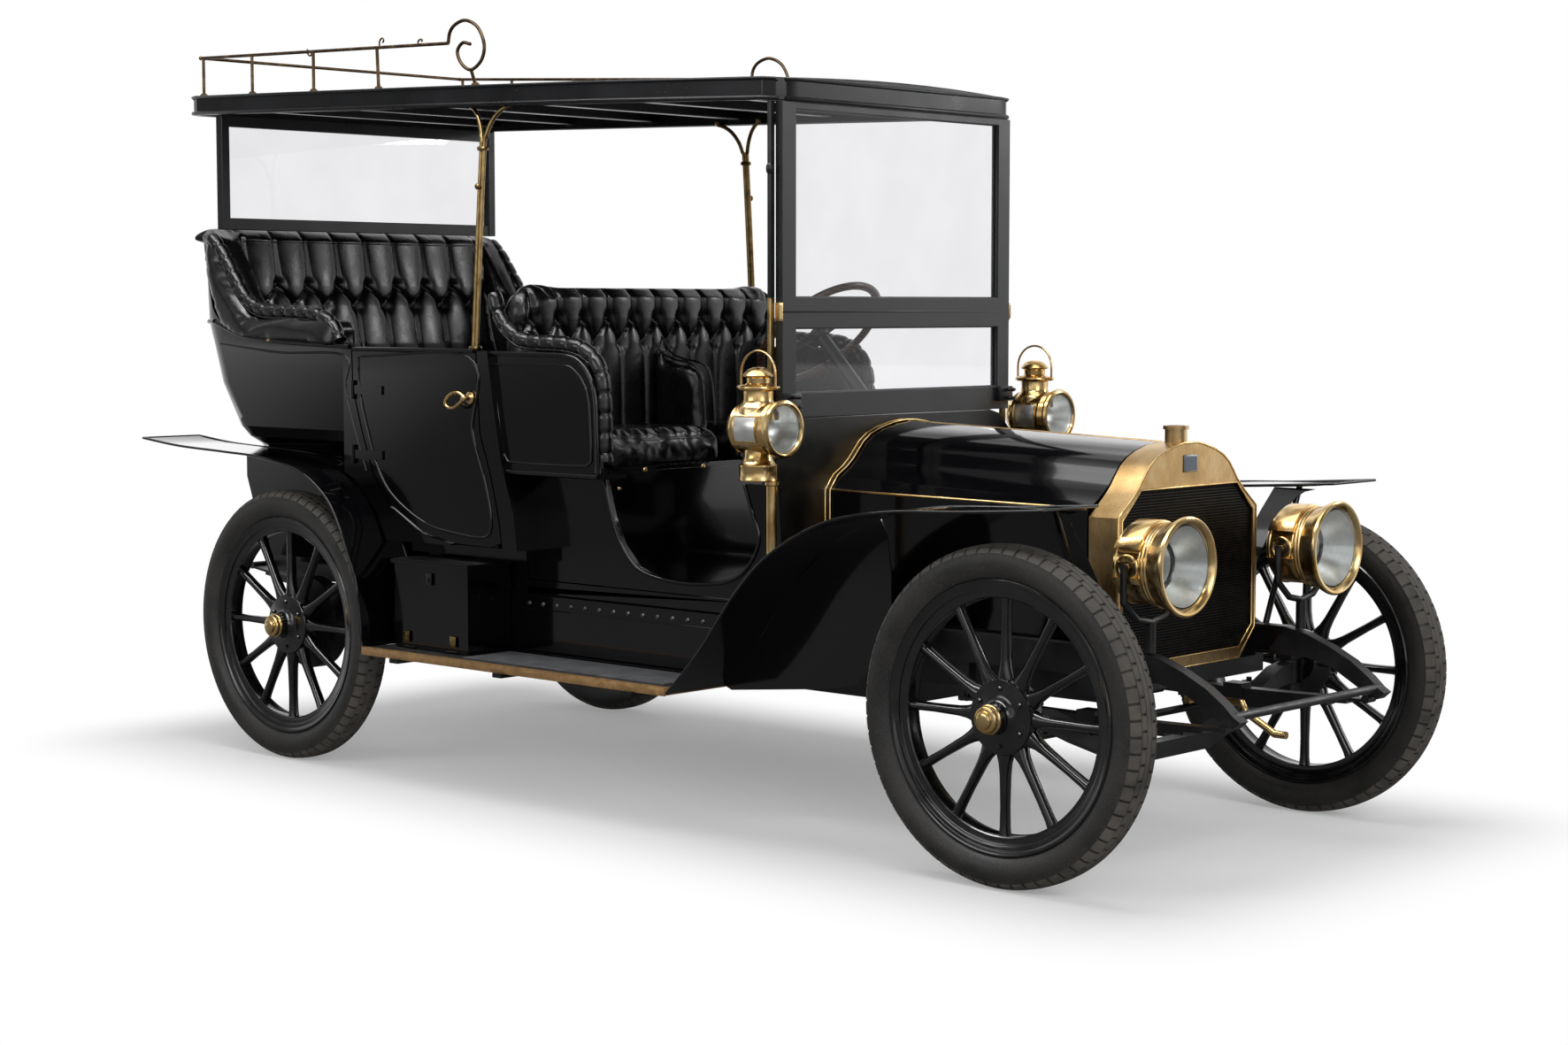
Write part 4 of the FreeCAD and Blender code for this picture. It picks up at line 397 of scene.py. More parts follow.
def copied(piece, matrix, name=None):
    """A copy with its own mesh, moved by a matrix; a mirrored one is turned right side out."""
    twin = piece.copy()
    twin.data = piece.data.copy()
    twin.name = name or piece.name
    scene.collection.objects.link(twin)
    twin.data.transform(matrix)
    if matrix.determinant() < 0:
        twin.data.flip_normals()
    return twin


def ring(pattern, count, start=0.0, axis="Y", place=Matrix()):
    """Uses a pattern up in copies set evenly round an axis."""
    made = [copied(pattern, place @ Matrix.Rotation(math.tau * (k + start) / count, 4, axis))
            for k in range(count)]
    bpy.data.objects.remove(pattern)
    return made


def joined(name, pieces):
    """Makes one piece of several."""
    bpy.ops.object.select_all(action="DESELECT")
    for piece in pieces:
        piece.select_set(True)
    bpy.context.view_layer.objects.active = pieces[0]
    bpy.ops.object.join()
    pieces[0].name = name
    return pieces[0]


def finish(piece, paint, slot, *nodes, body="chassis"):
    """Gives a piece its coat, the body that it rides on, and the plain nodes that it stands for."""
    coat(piece, paint)
    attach(piece, body)
    if nodes:
        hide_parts(*nodes)
    return piece


def there_and_back(half):
    """A closed profile from its outboard half."""
    whole = half + [(r, -w) for r, w in reversed(half)]
    return whole + whole[:1]


# Wheel varnish over black: deep and wet, with a few grains of road dust low on the spokes.
wheel_varnish = plain("black_wheel_varnish", 45, 5, [(0.35, "#060607"), (0.7, "#0f0f11"), (0.9, "#201d1a")],
                      (0.12, 0.3), Coat_Weight=0.5, Coat_Roughness=0.05)
# Turned and polished yellow brass: warm, with faint lathe rings and finger haze that soften its mirror.
brass = plain("polished_yellow_brass", 55, 5, [(0.25, "#bd9858"), (0.5, "#d6b57c"), (0.75, "#e8cf9e")],
              (0.15, 0.28), (2.5, 2, 0.04, 0.4), Metallic=1.0)
# Carbon-free natural rubber of the time: grey-brown, dusty, a little shiny where it flexes.
tyre_rubber, tree = material("grey_brown_tyre_rubber")
bloom, chalk = grain(tree, 120, 6), grain(tree, 6, 4)
greyed = tint(tree, spread(tree, chalk, 0.0, 0.35, 0.45, 0.8),
              ramp(tree, bloom, (0.3, "#191817"), (0.7, "#2b2927")), rgb("#4c4843"))
close(tree, greyed, Roughness=spread(tree, bloom, 0.42, 0.6), Normal=bump(tree, chalk, 0.3, 0.5))
# Where the tread meets the road it is scuffed to a chalky grey.
worn_tread = plain("road_worn_tread_rubber", 60, 5, [(0.3, "#3a3733"), (0.7, "#57524c")], (0.6, 0.8),
                   (3, 4, 0.3, 0.5))

SPOKES = 12
FLANGE_BOLTS = 6
SPOKE = [
    # distance from the hub's centre, width round the wheel, depth along the axle
    (70, 46, 40), (98, 50, 40), (122, 34, 38), (150, 27, 36), (230, 23.5, 32), (285, 25, 34), (309, 32, 38)]
FELLOE = [
    # radius, half width: the felloe's eased corners, the rim's seat and its two rolled flanges
    (306, 18), (304, 22.5), (307, 25.5), (324, 26.5), (327, 28.5), (327, 33.5), (331, 35.5), (338, 35.5),
    (341, 37.5), (344, 40.5), (351, 42), (354.5, 39.5), (353, 36), (346, 33)]
HUB_TURNING = [
    # radius, outboard
    (0, -40), (50, -40), (60, -32), (92, -28), (98, -24), (98, 19), (95.5, 23.5), (90, 24.5), (58, 26.5),
    (44, 31), (37, 40), (33.5, 52), (32.5, 66), (0, 66)]
BOLT = [(0, 31.5), (4.5, 31.2), (6.6, 29), (6.8, 23), (0, 22)]
VALVE = [(0, 262), (3.5, 263), (4, 270), (3, 285), (4.5, 306), (0, 308)]
CAP = [
    # radius, outboard: the brass cap's bead, drum, step and domed nut
    (0, 64), (33.5, 64), (37.5, 65.5), (39.5, 68.5), (39.5, 72.5), (37.5, 75), (35, 76.5), (34.5, 86),
    (32.5, 88.5), (29, 89.5), (24, 90), (23, 92.5), (22.5, 96), (19, 98.5), (12, 100.3), (0, 101)]
parts = ring(drawn("spoke", SPOKE), SPOKES)
parts += [lathe("felloe_and_rim", there_and_back(FELLOE), 144), lathe("hub", HUB_TURNING, 64)]
parts += ring(lathe("flange_bolt", BOLT, 6, centre=(0.074, 0, 0), smooth=20), FLANGE_BOLTS, 0.5)
wheel_wood = joined("artillery_wheel", parts + [lathe("valve_stem", VALVE, 10, axis="Z")])
hub_cap = lathe("hub_cap", CAP, 48, smooth=40)

# ==== Tyres: moulded rubber on fabric, round-shouldered, with two staggered rows of blocks beside a plain
# centre rib. The grooves are pressed in between the blocks.
TREAD_PITCHES, SLICES, GROOVE_DEPTH = 66, 6, 0.0030
OUTER_ROW, INNER_ROW = (0.0305, 0.0535, 0.4185), (0.0110, 0.0272, 0.4360)
WORN_BEYOND = 0.4345
TYRE = [
    # radius, half width: bead, wall, shoulder line, outer blocks, groove, inner blocks, centre rib
    (347, 33), (352, 34.5), (359, 41), (368, 49), (380, 54.8), (395, 57), (408, 56), (417.5, 53),
    (419.5, 53), (427.5, 47), (433.5, 39.5), (436.5, 33), (437.3, 30.5), (435, 29.8), (435.2, 28),
    (438.2, 27.2), (439.2, 19), (439.8, 11), (437.5, 10), (437.8, 8.5), (440, 7.5)]
tyre_mesh = lathe("tyre", there_and_back(TYRE), TREAD_PITCHES * SLICES)
bpy.ops.object.mode_set(mode="EDIT")
bpy.ops.mesh.select_all(action="DESELECT")
shut()
for face in tyre_mesh.data.polygons:
    x, y, z = face.center
    slice_number = int(math.atan2(z, x) % math.tau / math.tau * TREAD_PITCHES * SLICES)
    slice_number += 0 if y > 0 else SLICES // 2
    radius = math.hypot(x, z)
    outer, inner = (low < abs(y) < high and radius > above for low, high, above in (OUTER_ROW, INNER_ROW))
    face.select = outer and slice_number % SLICES == 0 or inner and (slice_number + 2) % SLICES == 0
    face.material_index = int((outer or radius > WORN_BEYOND) and not face.select)
bpy.ops.object.mode_set(mode="EDIT")
bpy.ops.mesh.select_mode(type="FACE")
extrude((0, 0, 0))
bpy.ops.transform.shrink_fatten(value=-GROOVE_DEPTH)
bpy.ops.mesh.select_mode(type="VERT")
shut(28)

worn = [face.material_index for face in tyre_mesh.data.polygons]
for corner in ("front_left", "front_right", "rear_left", "rear_right"):
    spot = Matrix.Translation(sum(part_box("tyre_" + corner), Vector()) / 2)
    if corner.endswith("right"):
        spot = spot @ Matrix.Rotation(math.pi, 4, "Z")
    body = "wheel_" + corner
    finish(copied(wheel_wood, spot, "spoked_" + body), wheel_varnish, "painted_wood", body, body=body)
    finish(copied(hub_cap, spot, "hub_cap_" + corner), brass, "brass", body=body)
    tyre = finish(copied(tyre_mesh, spot, "treaded_tyre_" + corner), tyre_rubber, "rubber", "tyre_" + corner,
                  body=body)
    tyre.data.materials.append(worn_tread)
    for face, marked in zip(tyre.data.polygons, worn):
        face.material_index = marked
for pattern in (wheel_wood, hub_cap, tyre_mesh):
    bpy.data.objects.remove(pattern)

# ==== Engine and radiator: a painted iron engine block low between the rails, and a folded brass shell
# soldered round a black cellular core, which is built up from crossed strips in front of its tubes.
dressed("engine_block", chassis_enamel, edge=0.004)

# Rolled brass sheet, hand polished: satin rather than mirror, with fine vertical rubbing marks.
satin_brass, tree = material("hand_polished_sheet_brass")
pulled = add(tree, "Mapping", {"Vector": own(tree), "Scale": (420, 420, 30)}).outputs["Vector"]
marks = grain(tree, 1000, vector=pulled)
close(tree, ramp(tree, grain(tree, 95, 6), (0.3, "#a38455"), (0.5, "#bb9a69"), (0.72, "#cdb184")),
      Metallic=1.0, Roughness=spread(tree, marks, 0.24, 0.4), Normal=bump(tree, marks, 0.03, 0.3))
# Lamp black stoved on the core: nearly matt, browner where it has been hot.
black_core = plain("stove_blacked_core", 30, 4, [(0.3, "#0d0c0b"), (0.7, "#26221e")], 0.42, Metallic=0.3)
# Dull nickel on the plate, and a slate enamel in its field that is a little bluer than the metal.
nickel = plain("dull_nickel_plate", 20, 4, [(0.3, "#8d8f93"), (0.7, "#b5b6b8")], (0.3, 0.45), Metallic=1.0)
field = plain("slate_enamel_field", 8, 4, [(0.3, "#4a5160"), (0.7, "#5c6472")], 0.35)

dressed("radiator_shell", satin_brass, edge=0.0022, turn=24)
shell_low, shell_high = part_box("radiator_shell")
core_low, core_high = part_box("radiator_core")
core_mid = (core_low.y + core_high.y) / 2
core_half = core_high.y - core_mid
TOP_SHARE, TOP_DROP, FOOT_SHARE, FOOT_RISE = 0.735, 0.078, 0.802, 0.060
CELL, STRIP, STRIP_DEPTH, STRIP_PROUD, STRIP_GAP = 0.0077, 0.0012, 0.008, 0.0085, 0.001


def narrowed(amount, limit, length):
    """How far an amount is past a limit, as a share of a length, between 0 and 1."""
    return min(max((amount - limit) / length, 0), 1)


def core_half_at(height):
    """The core's half width at a height: the outline narrows above its shoulders and below its hips."""
    above = narrowed(height, core_high.z - TOP_DROP, TOP_DROP)
    below = narrowed(-height, -core_low.z - FOOT_RISE, FOOT_RISE)
    return core_half * (1 - (1 - TOP_SHARE) * above) * (1 - (1 - FOOT_SHARE) * below)


def core_span_at(across):
    """The core's lower and upper limits at a distance from its middle line."""
    share = abs(across) / core_half
    return (core_low.z + FOOT_RISE * narrowed(share, FOOT_SHARE, 1 - FOOT_SHARE),
            core_high.z - TOP_DROP * narrowed(share, TOP_SHARE, 1 - TOP_SHARE))


def slab(name, low, high, ease_edges=0.001, segments=2):
    """A squared strip between two corners, its arrises rubbed off."""
    piece = begin(name, "cube", size=1, location=[(a + b) / 2 for a, b in zip(low, high)])
    bpy.ops.transform.resize(value=[b - a for a, b in zip(low, high)])
    if ease_edges:
        bpy.ops.mesh.bevel(offset=ease_edges, segments=segments, affect="EDGES")
    return end(piece)


strips = []
face = core_high.x + STRIP_PROUD
for k in range(1, int((core_high.z - core_low.z) / CELL)):
    height = core_low.z + k * CELL
    half = core_half_at(height) - STRIP_GAP
    strips.append(slab("core_row", (face - STRIP_DEPTH, core_mid - half, height - STRIP / 2),
                       (face, core_mid + half, height + STRIP / 2), 0))
columns = int(core_half / CELL)
for k in range(-columns, columns + 1):
    across = core_mid + k * CELL
    foot, top = core_span_at(k * CELL)
    strips.append(slab("core_column", (face - STRIP_DEPTH, across - STRIP / 2, foot + STRIP_GAP),
                       (face - STRIP, across + STRIP / 2, top - STRIP_GAP), 0))
finish(joined("core_cells", strips), black_core, "core")
dressed("radiator_core", black_core, edge=0)


def bead(name, points, radius, closed=False, bulge=None, sides=3):
    """A round bead of a radius in millimetres along points; bulge is its thickness at a distance along it."""
    line = bpy.data.curves.new(name, "CURVE")
    line.dimensions = "3D"
    line.bevel_depth = radius / 1000
    line.bevel_resolution = sides
    line.use_fill_caps = not closed
    run = line.splines.new("POLY")
    run.points.add(len(points) - 1)
    run.use_cyclic_u = closed
    travelled = 0.0
    for k, point in enumerate(points):
        run.points[k].co = (*point, 1.0)
        if k:
            travelled += (Vector(point) - Vector(points[k - 1])).length
        if bulge:
            run.points[k].radius = bulge(travelled)
    piece = bpy.data.objects.new(name, line)
    scene.collection.objects.link(piece)
    alone(piece)
    bpy.ops.object.convert(target="MESH")
    bpy.ops.object.shade_smooth_by_angle(angle=math.radians(50))
    return bpy.context.active_object


def both_ways(half):
    """An outline across the car from its left half: (out, height) points, ending at the middle."""
    return [(-out, height) for out, height in half] + list(reversed(half))


def outlined(name, x, outline, radius):
    """A closed brass bead round an outline across the car."""
    finish(bead(name, [(x, y, z) for y, z in outline], radius, closed=True), brass, "brass")


# A polished bead frames the core, a second one the shell, and a bare plate stands on the header tank.
core_edge = [(core_half * TOP_SHARE, core_high.z), (core_half, core_high.z - TOP_DROP),
             (core_half, core_low.z + FOOT_RISE), (core_half * FOOT_SHARE, core_low.z)]
core_edge += [(-y, z) for y, z in reversed(core_edge)]
outlined("core_frame", shell_high.x - 0.0005, [(core_mid + y, z) for y, z in core_edge], 3.2)
shell_half = (shell_high.y - shell_low.y) / 2
crest = shell_high.z - 0.044
CHAMFER_IN, CHAMFER_UP = 0.079, 0.082
SHELL_EDGE = [
    # share of the half width, below the crest
    (0.1, 0.001), (0.2, 0.007), (0.37, 0.022), (0.49, 0.039), (0.58, 0.06), (0.65, 0.086), (0.71, 0.11),
    (0.79, 0.134), (0.9, 0.162), (1, 0.187)]
edge_line = both_ways([(share * shell_half, crest - drop) for share, drop in reversed(SHELL_EDGE)])
edge_line += [(shell_half, shell_low.z + CHAMFER_UP), (shell_half - CHAMFER_IN, shell_low.z),
              (CHAMFER_IN - shell_half, shell_low.z), (-shell_half, shell_low.z + CHAMFER_UP)]
outlined("shell_bead", shell_high.x - 0.001, edge_line, 3.4)
finish(slab("header_plate", (shell_high.x, -0.033, crest - 0.080),
            (shell_high.x + 0.003, 0.033, crest - 0.033), 0.002), nickel, "iron")
finish(slab("plate_field", (shell_high.x + 0.0028, -0.028, crest - 0.0755),
            (shell_high.x + 0.0038, 0.028, crest - 0.0375), 0.0004, 1), field, "iron")

# ==== Bonnet: two hinged leaves with hanging sides in hammered sheet, coach painted. A brass arch
# carries its rear edge on the dash, and a brass hinge joins each leaf to its side.

# Coach black: many rubbed varnish coats over lamp black; deep, faintly blue, a little orange peel.
coach_black, tree = material("rubbed_coach_black")
close(tree, ramp(tree, grain(tree, 240, 5), (0.3, "#030305"), (0.7, "#08080b")), Specular_IOR_Level=0.42,
      Roughness=spread(tree, grain(tree, 0.9, 2), 0.06, 0.13), Coat_Weight=0.25, Coat_Roughness=0.03,
      Normal=bump(tree, grain(tree, 11, 2), 0.05, 0.3))

HANDS = (("right", -1), ("left", 1))
for hand, side in HANDS:
    dressed("bonnet_" + hand, coach_black, edge=0.0008, turn=25)
    dressed("bonnet_side_" + hand, coach_black, edge=0.0008)

leaf_low, leaf_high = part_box("bonnet_left")
rear_x, rear_half, rear_crest = leaf_low.x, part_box("bonnet_side_left")[1].y, leaf_high.z
ARCH_WIDTH, ARCH_THICK, PROUD, ARCH_FOOT = 0.026, 0.0018, 0.0030, 0.64
LEAF_EDGE = [
    # share of the half width, below the crest
    (0.06, 0.001), (0.2, 0.007), (0.37, 0.021), (0.49, 0.037), (0.58, 0.058), (0.65, 0.084), (0.71, 0.106),
    (0.79, 0.128), (0.9, 0.15), (1, 0.188)]


def band(name, outline, x_front, x_back, thick):
    """A thin strip that follows an outline across the car and runs back a little way."""
    piece = traced(name, [Vector((x_front, y, z)) for y, z in outline])
    extrude((x_back - x_front, 0, 0))
    shut()
    worked(piece, "SOLIDIFY", thickness=thick, offset=0)
    bpy.ops.object.mode_set(mode="EDIT")
    return end(piece, 25)


half = [(share * rear_half, rear_crest - drop) for share, drop in LEAF_EDGE] + [(rear_half, ARCH_FOOT)]
arch = [(y + math.copysign(PROUD, y) * min(abs(y) / 0.1, 1), z + PROUD * (abs(y) < rear_half - 0.01))
        for y, z in both_ways(half[::-1])]
parts = [band("bonnet_arch", arch, rear_x + ARCH_WIDTH, rear_x - 0.006, ARCH_THICK)]
for x in (rear_x + ARCH_WIDTH, rear_x + 0.008):
    parts.append(bead("arch_bead", [(x, y, z) for y, z in arch], 2.8))
finish(joined("bonnet_arch", parts), brass, "brass")
for hand, side in HANDS:
    leaf = "bonnet_" + hand
    low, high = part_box(leaf)
    hinge = [(high.x - 0.002, side * (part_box("radiator_shell")[1].y - 0.0015), low.z + 0.004),
             (rear_x + ARCH_WIDTH, side * (rear_half - 0.0015), rear_crest - LEAF_EDGE[-1][1])]
    finish(bead("hinge_barrel_" + hand, hinge, 4.3), brass, "brass", body=leaf)

# ==== Dash and windscreen: an ash board faced with leathercloth beside the bonnet arch, and a screen in
# two painted ash frames. The upper one folds on brass plates and is clamped at its foot.
front_axle = sum(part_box("tyre_front_left"), Vector()).x / 2
MIRROR_Y = Matrix.Scale(-1, 4, DIRECTIONS["Y"])


def ahead(distance):
    """A place along the car, from its millimetres ahead of the front axle."""
    return front_axle + distance / 1000


def at(x, out, up):
    """A place in millimetres: ahead of the front axle, out to the left, and above the ground."""
    return Vector((ahead(x), out / 1000, up / 1000))


def pair(piece, paint, slot, body="chassis"):
    """Finishes a left-hand piece and its mirrored fellow; a body with a hand of its own ends in _left."""
    finish(copied(piece, MIRROR_Y, piece.name + "_right"), paint, slot, body=body.replace("_left", "_right"))
    piece.name += "_left"
    finish(piece, paint, slot, body=body)


# Screen paint: black over ash, gone satin in the weather, so its faces lift to a soft grey.
screen_paint = plain("weathered_satin_black_paint", 130, 5, [(0.3, "#17181a"), (0.7, "#222325")], (0.3, 0.42),
                     (3, 2, 0.1, 0.4))
# Leathercloth: black, with a fine pebble that breaks its sheen and a brown cast where it has worn.
leathercloth, tree = material("pebbled_black_leathercloth")
rubbed = grain(tree, 70, 5)
close(tree, ramp(tree, rubbed, (0.35, "#080707"), (0.7, "#15110e")), Specular_IOR_Level=0.4,
      Roughness=spread(tree, rubbed, 0.28, 0.42), Normal=bump(tree, pebbles(tree, 2.2), 0.3, 0.6))


def clear_pane(name, dark, pale, ior, millimetres):
    """Glass thin enough to see through: its surface mirrors more as it is seen more from the side."""
    made, tree = material(name)
    tinted = ramp(tree, grain(tree, millimetres, 2), (0.3, dark), (0.7, pale))
    through = add(tree, "BsdfTransparent", {"Color": tinted})
    sheen = add(tree, "BsdfGlossy", {"Color": WHITE, "Roughness": 0.02})
    outside = calc(tree, "SUBTRACT", 1.0, add(tree, "NewGeometry").outputs["Backfacing"])
    mirror = calc(tree, "MULTIPLY", add(tree, "Fresnel", {"IOR": ior}).outputs["Fac"], outside)
    add(tree, "OutputMaterial", {"Surface": blend(tree, mirror, through, sheen)})
    return made


# Drawn plate glass: almost clear, faintly grey, with a slow ripple in its tint.
coat(frame["nodes"]["window_glass"], clear_pane("drawn_plate_glass", "#f3f3f4", "#f6f6f7", 1.45, 180))
dressed("dash_board", coach_black)
dressed("windscreen_frame", screen_paint, edge=0.002)
screen_low, screen_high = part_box("windscreen_frame")
screen_face, screen_half, screen_foot = screen_high.x, screen_high.y, screen_low.z
JOINT_Z = 1.461
GLAZED = [
    # half width, foot and head of each pane
    (0.460, 1.232, 1.415), (0.460, 1.502, 2.028)]
for half, low, high in GLAZED:
    for face in (screen_face - 0.008, screen_face - 0.020):
        corners = [(face, -half, low), (face, half, low), (face, half, high), (face, -half, high)]
        finish(bead("glazing_bead", corners, 4.5, closed=True), screen_paint, "painted_wood")
finish(slab("frame_joint", (screen_face - 0.003, -screen_half, JOINT_Z - 0.0025),
            (screen_face + 0.0015, screen_half, JOINT_Z + 0.0025)), chassis_enamel, "black_iron")
hinge = [slab("hinge_plate", (screen_face - 0.026, screen_half - 0.001, JOINT_Z - 0.026),
              (screen_face + 0.0005, screen_half + 0.0035, JOINT_Z + 0.026)),
         lathe("hinge_knuckle", [(0, -20), (5.5, -20), (5.5, 20), (0, 20)], 16,
               centre=(screen_face - 0.004, screen_half + 0.005, JOINT_Z), axis="Z")]
pair(joined("screen_hinge", hinge), brass, "brass")

WING_NUTS = (1.196, 1.222)
clamp = [slab("clamp_block", (screen_face - 0.001, screen_half - 0.062, 1.186),
              (screen_face + 0.016, screen_half + 0.002, 1.232), 0.003)]
for z in WING_NUTS:
    clamp += [lathe("clamp_screw", [(0, 0), (6, 0), (6, 30), (4, 34), (0, 34)], 14,
                    centre=(screen_face + 0.012, screen_half - 0.028, z), axis="X"),
              slab("wing", (screen_face + 0.030, screen_half - 0.046, z - 0.003),
                   (screen_face + 0.038, screen_half - 0.010, z + 0.003), 0.0025)]
pair(joined("screen_clamp", clamp), chassis_enamel, "black_iron")

# The leathercloth facing runs from the arch out to the dash's edge, under the screen's foot.
FACING_GAP = 0.004
outline = [(0.0, screen_foot - 0.003), (0.425, screen_foot - 0.003), (0.468, 1.149), (0.525, 1.095),
           (0.570, 0.986), (0.570, 0.974), (0.529, 0.966), (0.517, 0.770), (rear_half + FACING_GAP, 0.770)]
outline += [(share * (rear_half + FACING_GAP), rear_crest + FACING_GAP - drop)
            for share, drop in reversed(SHELL_EDGE)]
outline.append((0.0, rear_crest + FACING_GAP))
sheet = traced("dash_facing", [(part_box("dash_board")[1].x - 0.001, y, z) for y, z in outline])
bpy.ops.mesh.edge_face_add()
extrude((0.003, 0, 0))
pair(end(sheet), leathercloth, "leather")

# ==== Body: ash framed panels, coach painted black, with half-round mouldings pinned along the joints.
# The doors hang on strap hinges behind and open by cast brass loop handles.
for node in ("rear_tub", "front_tub", "door_left", "door_right", "floor"):
    dressed(node, coach_black, edge=0.002, turn=24)


def flowing(points, step=0.006):
    """Points every few millimetres along a smooth line through the given ones."""
    spots = [Vector(p) for p in points]
    padded = [2 * spots[0] - spots[1]] + spots + [2 * spots[-1] - spots[-2]]
    run = []
    for a, b, c, d in zip(padded, padded[1:], padded[2:], padded[3:]):
        count = max(int((c - b).length / step), 1)
        for k in range(count):
            t = k / count
            run.append(0.5 * ((2 * b) + (c - a) * t + (2 * a - 5 * b + 4 * c - d) * t * t
                              + (3 * b - a - 3 * c + d) * t ** 3))
    return run + [spots[-1]]


MOULDINGS = [
    # name, body, radius, outboard, closed, then (ahead of the front axle, height) along it
    ("belt", "chassis", 8.5, 642.5, False, [(-3440, 1423), (-3400, 1408), (-3274, 1374), (-3070, 1360),
      (-2880, 1353), (-2722, 1347)]),
    ("door_head", "door_left", 7.5, 640.5, False, [(-2706, 1340), (-2400, 1340), (-2118, 1340)]),
    ("door_bead", "door_left", 4.5, 640.5, True, [(-2682, 1318), (-2678, 1215), (-2636, 1080),
      (-2586, 960), (-2510, 874), (-2360, 799), (-2209, 774), (-2070, 771), (-2046, 830), (-2078, 955),
      (-2128, 1095), (-2140, 1318)]),
    ("seat_side_head", "chassis", 8, 621.5, False, [(-2090, 1333), (-1900, 1333), (-1730, 1330),
      (-1668, 1312), (-1620, 1264), (-1600, 1200), (-1594, 1100), (-1592, 985)]),
    ("seat_side_bead", "chassis", 4, 620.5, True, [(-2060, 1300), (-1760, 1302), (-1690, 1286),
      (-1648, 1245), (-1628, 1190), (-1620, 1020), (-1640, 1005), (-1990, 1005), (-2010, 1030)]),
    ("seat_side_foot", "chassis", 8, 621, False, [(-2030, 974), (-1592, 974)]),
    ("step_edge", "chassis", 6, 528.5, False, [(-1672, 975), (-1660, 949), (-1630, 850), (-1590, 770),
      (-1527, 706), (-1440, 680), (-1300, 672), (-1150, 690), (-1070, 740), (-1030, 818), (-1060, 900),
      (-1085, 968)]),
    ("rear_side_bead", "chassis", 4, 638.5, False, [(-3420, 1350), (-3100, 1325), (-2750, 1318),
      (-2748, 1215), (-2700, 1075), (-2648, 950)])]
for name, body, radius, out, closed, run in MOULDINGS:
    points = flowing([at(x, out, z) for x, z in (run + run[:1] if closed else run)], 0.02)
    moulding = bead(name, points[:-1] if closed else points, radius, closed=closed)
    pair(moulding, coach_black, "painted_wood", body)
CORNER_HALF, CORNER_BACK, CORNER_Z, CORNER_TURN = 645, -3554.5, 1426, 110
QUARTER = [(1.0, 0.0), (0.62, 0.09), (0.29, 0.29), (0.09, 0.62), (0.0, 1.0)]
around = [at(CORNER_BACK + CORNER_TURN * a, CORNER_HALF - CORNER_TURN * b, CORNER_Z) for a, b in QUARTER]
around += [(x, -y, z) for x, y, z in reversed(around)]
finish(bead("belt_behind", around, 8.5), coach_black, "painted_wood")

# Cast brass loop handle: a rose on the door, a short neck, and a loop that hangs back from it.
LOOP = [
    # behind the neck, above it, out from the door
    (0, 4, 26), (18, 16, 30), (45, 14, 33), (70, -2, 34), (78, -18, 33), (66, -30, 32), (40, -30, 31),
    (14, -14, 28), (0, -2, 26)]
ROSE = [(0, 0), (19, 0), (18.5, 3), (15, 5), (9, 7), (7.5, 14), (8.5, 24), (10, 29), (6, 33), (0, 34)]
grip = at(-2140, 640, 1196)
loop = bead("loop", flowing([grip + Vector((-back, out, up)) / 1000 for back, up, out in LOOP]), 5, sides=4)
pair(joined("door_handle", [lathe("rose", ROSE, 32, centre=grip), loop]), brass, "brass", "door_left")

# Small brass fittings: turn buttons on the belt, and studs along the seat rail and its riser.
STUDS = [
    # name, ahead of the front axle, outboard, height, radius, faces
    ("belt_button", -3140, 650, 1366, 7.5, "Y"), ("seat_rail_button", -1589, 430, 988, 8, "X"),
    ("seat_rail_button", -1589, 180, 988, 8, "X"), ("riser_button", -1659, 470, 930, 6.5, "X")]
for name, x, out, z, radius, faces in STUDS:
    pair(lathe(name, [(0, -2), (radius, -2), (radius, 1), (radius * 0.7, 3.5), (0, 4.5)], 20,
               centre=at(x, out, z), axis=faces), brass, "brass")

# ==== Canopy: a boarded roof on ash bows with a deep moulded fascia, painted black and chipped by sixty
# years of luggage. Brass stanchions carry it amidships and a wooden frame with a pane behind.

# Roof paint: dull black with pale chips down to the primer, a few millimetres across.
roof_paint, tree = material("chipped_black_roof_paint")
faded, chips = grain(tree, 160, 5), grain(tree, 9, 5, 0.62)
flaked = calc(tree, "ADD", chips, spread(tree, grain(tree, 230, 2), -0.06, 0.05))
bare = tint(tree, spread(tree, flaked, 0.0, 0.75, 0.70, 0.735),
            ramp(tree, faded, (0.3, "#0c0d0f"), (0.7, "#15161a")), rgb("#8d8a85"))
close(tree, bare, Specular_IOR_Level=0.34, Roughness=spread(tree, faded, 0.24, 0.38),
      Normal=bump(tree, chips, 0.15, 0.4))

for node in ("canopy_roof", "rear_window_frame"):
    dressed(node, roof_paint, edge=0.003, turn=20)
stations = {}
for vertex in frame["nodes"]["canopy_roof"].data.vertices:
    stations.setdefault(round(vertex.co.x, 3), []).append(vertex.co)
brim = []
for x in sorted(stations, reverse=True):
    wide = max(co.y for co in stations[x])
    rim = [co.z for co in stations[x] if co.y > wide - 0.0015]
    if wide > 0.45 and max(rim) - min(rim) > 0.03:
        brim.append((x, wide, min(rim), max(rim)))
for name, radius, out, at_top, shift in (("fascia_foot", 7, 0.002, False, 0.006),
                                         ("fascia_lip", 5, 0.004, True, -0.004)):
    near = [(x, wide + out, (high if at_top else low) + shift) for x, wide, low, high in brim]
    finish(bead(name, near + [(x, -y, z) for x, y, z in reversed(near)], radius, closed=True), roof_paint,
           "painted_wood")

